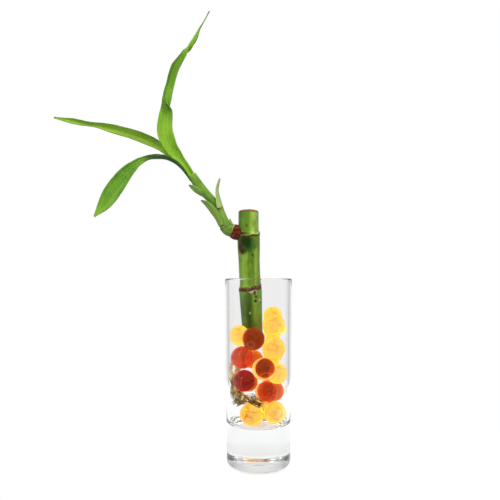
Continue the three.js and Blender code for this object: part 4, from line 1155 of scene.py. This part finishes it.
def gel_material(name, glow, line, loss, outline_share=0.9, coat=0.0, marks=()):
    material, tree, shader = new_material(name, {
        "Base Color": "#ffffff", "Emission Strength": 1.0, "Roughness": 0.0, "IOR": GEL_INDEX,
        "Transmission Weight": 1.0, "Coat Weight": coat, "Coat Roughness": 0.02, "Coat IOR": COAT_INDEX})
    spot = add(tree, "ShaderNodeTexCoord").outputs["Object"]
    clouds = grain(tree, spot, OBJECT_SPAN, (3, 3, 7), detail=1.5)
    bent = {0: clouds, 1: (OUTLINE_WANDER * MM,) * 3, 2: spot}
    bent = add(tree, "ShaderNodeVectorMath", bent, operation="MULTIPLY_ADD")
    # painted outlines: thin lines of glow, painted light for the bent edges of the beads around
    painted_outlines = {"Vector": bent, "Scale": 1 / (OUTLINE_SPACING * MM)}
    painted_outlines = add(tree, "ShaderNodeTexVoronoi", painted_outlines, feature="DISTANCE_TO_EDGE")
    coats = [(clouds, 0.5, 0.65, outline_share / 3, line), (painted_outlines, 0.045, 0.01, outline_share, line)]
    for kind, middle, radius, stretch, colour in marks:
        middle = tuple(c * MM for c in middle)
        away = add(tree, "ShaderNodeVectorMath", {0: spot, 1: middle}, operation="SUBTRACT")
        away = add(tree, "ShaderNodeVectorMath", {0: away, 1: stretch}, operation="DIVIDE")
        far = add(tree, "ShaderNodeVectorMath", {0: away}, operation="LENGTH")
        off = add(tree, "ShaderNodeMath", {0: far, 1: radius * MM}, operation="SUBTRACT")
        if kind == "ring":
            off = add(tree, "ShaderNodeMath", {0: off}, operation="ABSOLUTE")
            coats.append((off, RING_WIDTH * MM, 0.0, 1.0, colour))
        else:
            coats.append((off, -0.1 * MM, 0.2 * MM, 1.0, colour))
    plug(tree, shader, {"Emission Color": paint(tree, glow, coats)})
    densest = max(loss)
    kept = tuple(1 - value / densest for value in loss) + (1.0,)
    absorption = add(tree, "ShaderNodeVolumeAbsorption", {"Color": kept, "Density": densest})
    plug(tree, tree.nodes["Material Output"], {"Volume": absorption})
    return material


# %% [markdown]
# Each gel has its glow, the colour of its painted outlines, its loss of red, green and blue per metre, and
# what is special about it. A mark is a ring, or a halo around a dark disc, with its middle, its radius, its
# stretch and its colour. A large stretch towards the viewer makes it a tube, so it looks round from there.

# %% Recipes of the gels
AMBER_RING = "#b06a3c"
TUBE = (1, 20, 1)
GELS = {
    "yellow_bead_skin": ("#592700", "#592700", (5, 150, 700), {}),
    "yellow_water_gel": ("#b8ba70", "#b87430", (92, 20, 1), {"outline_share": 0.6}),
    "low_yellow_water_gel": ("#b4b86e", "#a05418", (92, 22, 10), {}),
    "orange_bead_skin": ("#481800", "#481800", (20, 300, 700), {}),
    "orange_water_gel": ("#845c20", "#985020", (110, 80, 60), {}),
    "pale_rim_gel": ("#301400", "#301400", (14, 110, 260), {"coat": 0.2}),
    "bright_rim_gel": ("#301400", "#301400", (10, 70, 190), {
        "coat": 0.2, "marks": [("halo", (3.6, -10.2, 58.8), 5.6, TUBE, "#b8a864")]}),
    "red_rim_gel": ("#48160a", "#78301c", (30, 380, 700), {"coat": 0.2}),
    "deep_rim_gel": ("#3c140a", "#702018", (50, 380, 700), {"coat": 0.2}),
    "front_amber_gel": ("#7c2707", "#8c3810", (230, 420, 600), {
        "marks": [("ring", (-4.4, -15, 72.6), 1.9, TUBE, AMBER_RING)]}),
    "ringed_amber_gel": ("#4e280b", "#8c4014", (140, 300, 450), {
        "marks": [("ring", (4.2, -12, 54.7), 2.4, (1.3, 20, 0.9), AMBER_RING)]}),
    "amber_water_gel": ("#602809", "#b04020", (110, 280, 450), {
        "marks": [("ring", (8.0, -12, 42.0), 1.9, TUBE, AMBER_RING)]}),
    "red_water_gel": ("#52380f", "#8a4c1c", (40, 120, 420), {
        "marks": [("ring", (-1.3, -12, 63.3), 6.2, TUBE, "#b8502c")]}),
    "deep_red_water_gel": ("#260e05", "#5c180c", (90, 270, 600), {
        "marks": [("ring", (-3.8, -12, 50.2), 6.3, TUBE, "#b03020")]}),
    "hidden_dark_water_gel": ("#241006", "#241006", (85, 200, 400), {}),
}
gels = {name: gel_material(name, glow, line, loss, **more) for name, (glow, line, loss, more) in GELS.items()}
print(len(gels), "gels")

# %% [markdown]
# Round beads could be plain spheres, but swollen gel is never quite round. One Geometry Nodes tree makes
# every bead from its radius, its stretch and a seed: two balls, skin and core, each with its own gel, are
# pushed in and out a little by a slow noise. The core may sit off the middle, which gives a bead its
# bright crescent. The mesh stays a closed ball in a closed ball, so the light knows where it is.

# %% Geometry Nodes tree for one bead
SWELLING_MIDDLE = 0.55

bead_tree, given, result = new_tree("water_bead", [
    ("Radius", "NodeSocketFloat", 6.5 * MM),
    ("Stretch", "NodeSocketVector", (1.0, 1.0, 1.0)),
    ("Unevenness", "NodeSocketFloat", 0.12 * MM),
    ("Seed", "NodeSocketFloat", 1.0),
    ("Core", "NodeSocketFloat", 0.9),
    ("Core Shift", "NodeSocketVector", (0.0, 0.0, 0.0)),
    ("Skin Gel", "NodeSocketMaterial", None),
    ("Core Gel", "NodeSocketMaterial", None),
])
ball = add(bead_tree, "GeometryNodeMeshIcoSphere", {"Radius": given["Radius"], "Subdivisions": 6})
ball = add(bead_tree, "GeometryNodeSetMaterial", {"Geometry": ball, "Material": given["Skin Gel"]})
core_radius = add(bead_tree, "ShaderNodeMath", {0: given["Radius"], 1: given["Core"]}, operation="MULTIPLY")
core = add(bead_tree, "GeometryNodeMeshIcoSphere", {"Radius": core_radius, "Subdivisions": 5})
core = add(bead_tree, "GeometryNodeTransform", {"Geometry": core, "Translation": given["Core Shift"]})
core = add(bead_tree, "GeometryNodeSetMaterial", {"Geometry": core, "Material": given["Core Gel"]})
both = add(bead_tree, "GeometryNodeJoinGeometry")
for part in (core, ball):
    plug(bead_tree, both, {0: part})
spot = add(bead_tree, "GeometryNodeInputPosition")
away = add(bead_tree, "ShaderNodeVectorMath", {0: spot}, operation="NORMALIZE")
swell = {"Vector": away, "W": given["Seed"], "Scale": 0.8, "Detail": 1.0}
swell = add(bead_tree, "ShaderNodeTexNoise", swell, noise_dimensions="4D")
swell = add(bead_tree, "ShaderNodeMath", {0: swell, 1: SWELLING_MIDDLE}, operation="SUBTRACT")
swell = add(bead_tree, "ShaderNodeMath", {0: swell, 1: given["Unevenness"]}, operation="MULTIPLY")
push = add(bead_tree, "ShaderNodeVectorMath", {0: away, "Scale": swell}, operation="SCALE")
uneven = add(bead_tree, "GeometryNodeSetPosition", {"Geometry": both, "Offset": push})
stretched = add(bead_tree, "GeometryNodeTransform", {"Geometry": uneven, "Scale": given["Stretch"]})
smooth = add(bead_tree, "GeometryNodeSetShadeSmooth", {"Geometry": stretched})
whole = add(bead_tree, "GeometryNodeRealizeInstances", {"Geometry": smooth})
plug(bead_tree, result, {"Geometry": whole})
print(len(bead_tree.nodes), "nodes in the bead tree")

# %% [markdown]
# Every bead takes its place and radius from its solid. The tables hold only what is special: most beads
# are yellow, round, and have a centred core.

# %% Make the beads
CORE_GELS = {
    1: "low_yellow_water_gel", 2: "low_yellow_water_gel", 3: "low_yellow_water_gel", 4: "orange_water_gel",
    5: "amber_water_gel", 6: "hidden_dark_water_gel", 8: "deep_red_water_gel", 9: "orange_water_gel",
    10: "ringed_amber_gel", 12: "red_water_gel", 13: "orange_water_gel", 16: "front_amber_gel",
}
SKIN_GELS = {
    4: "orange_bead_skin", 5: "pale_rim_gel", 8: "deep_rim_gel", 9: "orange_bead_skin", 10: "bright_rim_gel",
    12: "red_rim_gel", 13: "orange_bead_skin", 16: "pale_rim_gel",
}
CORES = {
    5: (0.86, (0.7, 0.2, 0.35)), 8: (0.93, (0.2, 0, 0)), 10: (0.84, (0.75, 0.2, 0.6)),
    12: (0.93, (0, 0.1, 0.1)), 16: (0.93, (0.2, 0.1, 0.25)),
}
CENTRED_CORE = (0.93, (0, 0, 0))
STRETCHES = {16: (0.985, 0.985, 1.02), 5: (1.0, 1.0, 0.99), 18: (1.0, 1.0, 0.98)}
SLOTS = {
    "yellow_water_gel": "yellow_bead", "low_yellow_water_gel": "yellow_bead",
    "orange_water_gel": "orange_bead",
}

for node in sorted(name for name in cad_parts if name.startswith("bead_")):
    number = int(node[-2:])
    low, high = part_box(node)
    core_gel = CORE_GELS.get(number, "yellow_water_gel")
    core_size, core_shift = CORES.get(number, CENTRED_CORE)
    bead = bpy.data.objects.new(f"water_{node}", bpy.data.meshes.new(node))
    bpy.context.scene.collection.objects.link(bead)
    run_tree(bead, bead_tree, {
        "Radius": (high.z - low.z) / 2,
        "Stretch": STRETCHES.get(number, (1.0, 1.0, 1.0)),
        "Seed": float(number),
        "Core": core_size,
        "Core Shift": [c * MM for c in core_shift],
        "Skin Gel": gels[SKIN_GELS.get(number, "yellow_bead_skin")],
        "Core Gel": gels[core_gel],
    })
    for vertex in bead.data.vertices:
        vertex.co += (low + high) / 2
    place_piece(bead, SLOTS.get(core_gel, "amber_bead"), node)

# %% [markdown]
# ## Studio
#
# The plant stands on a small white light table in front of a white backdrop. The table is a plain disc of
# frosted acrylic, a hair below the foot. Frosting makes it matt, with a roughness near 0.8, and light from
# inside makes its edge melt into the backdrop. It is set back, because the wall of the glass would mirror
# its front part over the roots.

# %% Light table
TABLE_RADIUS, TABLE_SET_BACK, TABLE_DROP = 170, 70, 0.3
TABLE_SIDES = 96
TABLE_GREY = "#a2a2a2"

table_mesh = bpy.data.meshes.new("white_light_table")
table_edge = [
    (across * MM, (along + TABLE_SET_BACK) * MM, -TABLE_DROP * MM)
    for across, along in arc(0, 0, TABLE_RADIUS, 0, 360, TABLE_SIDES)[:-1]
]
table_mesh.from_pydata(table_edge, [], [tuple(range(TABLE_SIDES))])
table = bpy.data.objects.new("white_light_table", table_mesh)
bpy.context.scene.collection.objects.link(table)
table_material, _, _ = new_material("lit_white_acrylic", {
    "Base Color": TABLE_GREY, "Roughness": 0.8, "Emission Color": "#ffffff", "Emission Strength": 0.7})
table_mesh.materials.append(table_material)
table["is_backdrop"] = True
print("table of", 2 * TABLE_RADIUS, "mm across, set back", TABLE_SET_BACK, "mm")

# %% [markdown]
# Clear glass in an all-white room can't be seen, and a bright room behind the viewer would lie over the
# beads as a grey veil, because the wall of the glass mirrors it. A studio solves this with dark cloth
# around the camera, and the world here does the same. Light that was mirrored or scattered finds a room
# that is bright behind and above, and dark in front at the level of the glass. What is mirrored steeply
# up or down finds light again, so that the rim and the heel of the glass don't turn black.

# %% Room that is mirrored
ROOM_LEVELS = [
    (0.0, 0.05), (0.25, 0.06), (0.4, 0.32), (0.55, 0.45), (0.85, 0.5), (0.94, 0.8), (0.975, 0.96),
    (1.0, 0.97)]
ROOM_TOP = 0.8
STEEP_LIGHT = 0.9

world = bpy.data.worlds.new("white_studio")
bpy.context.scene.world = world
world.use_nodes = True
tree = world.node_tree
direction = add(tree, "ShaderNodeTexCoord").outputs["Generated"]
split = add(tree, "ShaderNodeSeparateXYZ", {0: direction})
path = add(tree, "ShaderNodeLightPath")
halfway = add(tree, "ShaderNodeMapRange", {0: split.outputs["Y"], 1: -1.0})
back = add(tree, COLOUR_STOPS, {0: halfway}, stops=ROOM_LEVELS)
top = {0: split.outputs["Z"], 1: 0.4, 2: 0.85, 4: ROOM_TOP}
top = add(tree, "ShaderNodeMapRange", top, interpolation_type="SMOOTHSTEP")
mirrored = add(tree, "ShaderNodeMath", {0: back, 1: top}, operation="MAXIMUM")
height = add(tree, "ShaderNodeMath", {0: split.outputs["Z"]}, operation="ABSOLUTE")
steep = {0: height, 1: 0.35, 2: 0.5, 4: STEEP_LIGHT}
steep = add(tree, "ShaderNodeMapRange", steep, interpolation_type="SMOOTHSTEP")
unscattered = add(tree, "ShaderNodeMath", {0: path.outputs["Diffuse Depth"], 1: 0.5}, operation="LESS_THAN")
steep = add(tree, "ShaderNodeMath", {0: steep, 1: unscattered}, operation="MULTIPLY")
mirrored = add(tree, "ShaderNodeMath", {0: mirrored, 1: steep}, operation="MAXIMUM")
print("mirrored room of", len(ROOM_LEVELS), "levels from front to back")

# %% [markdown]
# Light that comes straight through clear things finds the white backdrop, less eight soft, dark upright
# flags around the set. They draw the edges of the glass as thin grey lines, from whichever side one
# looks. The backdrop itself is plain white. A light path node tells the three kinds of light apart by
# how often they were mirrored or scattered.

# %% Room that is seen through the glass
FLAG_COUNT = 8
FLAG_DEPTH = 0.2
BACKDROP = 1.0

bearing = {0: split.outputs["Y"], 1: split.outputs["X"]}
bearing = add(tree, "ShaderNodeMath", bearing, operation="ARCTAN2")
bearing = add(tree, "ShaderNodeMath", {0: bearing, 1: float(FLAG_COUNT)}, operation="MULTIPLY")
wave = add(tree, "ShaderNodeMath", {0: bearing}, operation="COSINE")
flag = {0: wave, 1: -0.8, 2: -1.0, 4: FLAG_DEPTH}
flag = add(tree, "ShaderNodeMapRange", flag, interpolation_type="SMOOTHSTEP")
upright = add(tree, "ShaderNodeMapRange", {0: height, 1: 0.6, 2: 0.35}, interpolation_type="SMOOTHSTEP")
flag = add(tree, "ShaderNodeMath", {0: flag, 1: upright}, operation="MULTIPLY")
through = add(tree, "ShaderNodeMath", {0: BACKDROP, 1: flag}, operation="SUBTRACT")
turned = {0: path.outputs["Glossy Depth"], 1: path.outputs["Diffuse Depth"]}
turned = add(tree, "ShaderNodeMath", turned, operation="ADD")
turned = add(tree, "ShaderNodeMath", {0: turned, 1: 0.5}, operation="GREATER_THAN")
level = add(tree, "ShaderNodeMix", {0: turned, 2: through, 3: mirrored}, data_type="FLOAT")
level = {0: path.outputs["Is Camera Ray"], 2: level, 3: BACKDROP}
level = add(tree, "ShaderNodeMix", level, data_type="FLOAT")
plug(tree, tree.nodes["Background"], {"Color": "#ffffff", "Strength": level})
print(FLAG_COUNT, "flags,", len(tree.nodes), "nodes in the world")

# %% [markdown]
# Two soft boxes stand high in front, left and right, and give the leaves and the cane their form. Light
# that was mirrored doesn't meet them, so that the glass and the beads don't show them as white squares.
# Their places are in metres.

# %% Soft lights
PLANT_MIDDLE = (-0.03, 0, 0.14)


def softbox(name, place, target, size, power):
    data = bpy.data.lights.new(name, "AREA")
    data.shape = "RECTANGLE"
    data.size, data.size_y = size
    data.energy = power
    light = bpy.data.objects.new(name, data)
    light.visible_glossy = False
    light.location = place
    aim = np.array(target) - np.array(place)
    tilt = math.acos(-aim[2] / np.linalg.norm(aim))
    light.rotation_euler = (tilt, 0, math.atan2(aim[1], aim[0]) - math.pi / 2)
    bpy.context.scene.collection.objects.link(light)
    print(name, round(float(np.linalg.norm(aim)), 2), "m from the plant")


softbox("left_softbox", (-0.38, -0.62, 0.72), PLANT_MIDDLE, (0.45, 0.35), 5.0)
softbox("right_softbox", (0.34, -0.62, 0.66), PLANT_MIDDLE, (0.4, 0.35), 4.4)

# %% [markdown]
# ## Colour and light paths
#
# White has to stay white, so the plain standard view is used. Light crosses four surfaces of glass and
# up to four of every bead on its way, and each crossing counts as a bounce, so the limits are raised.

# %% View and bounces
scene = bpy.context.scene
scene.view_settings.view_transform = "Standard"
scene.view_settings.look = "None"
scene.view_settings.exposure = 0.0
scene.view_settings.gamma = 1.0
scene.cycles.max_bounces = 28
scene.cycles.transmission_bounces = 28
scene.cycles.transparent_max_bounces = 16
scene.cycles.glossy_bounces = 8
print("up to", scene.cycles.max_bounces, "bounces")

# %% Compare sizes and finish
visual_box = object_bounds()
for side in range(2):
    beyond = [round((visual_box[side][k] - cad_box[side][k]) / MM, 2) for k in range(3)]
    print("corner", side, beyond, "mm from the solid model")
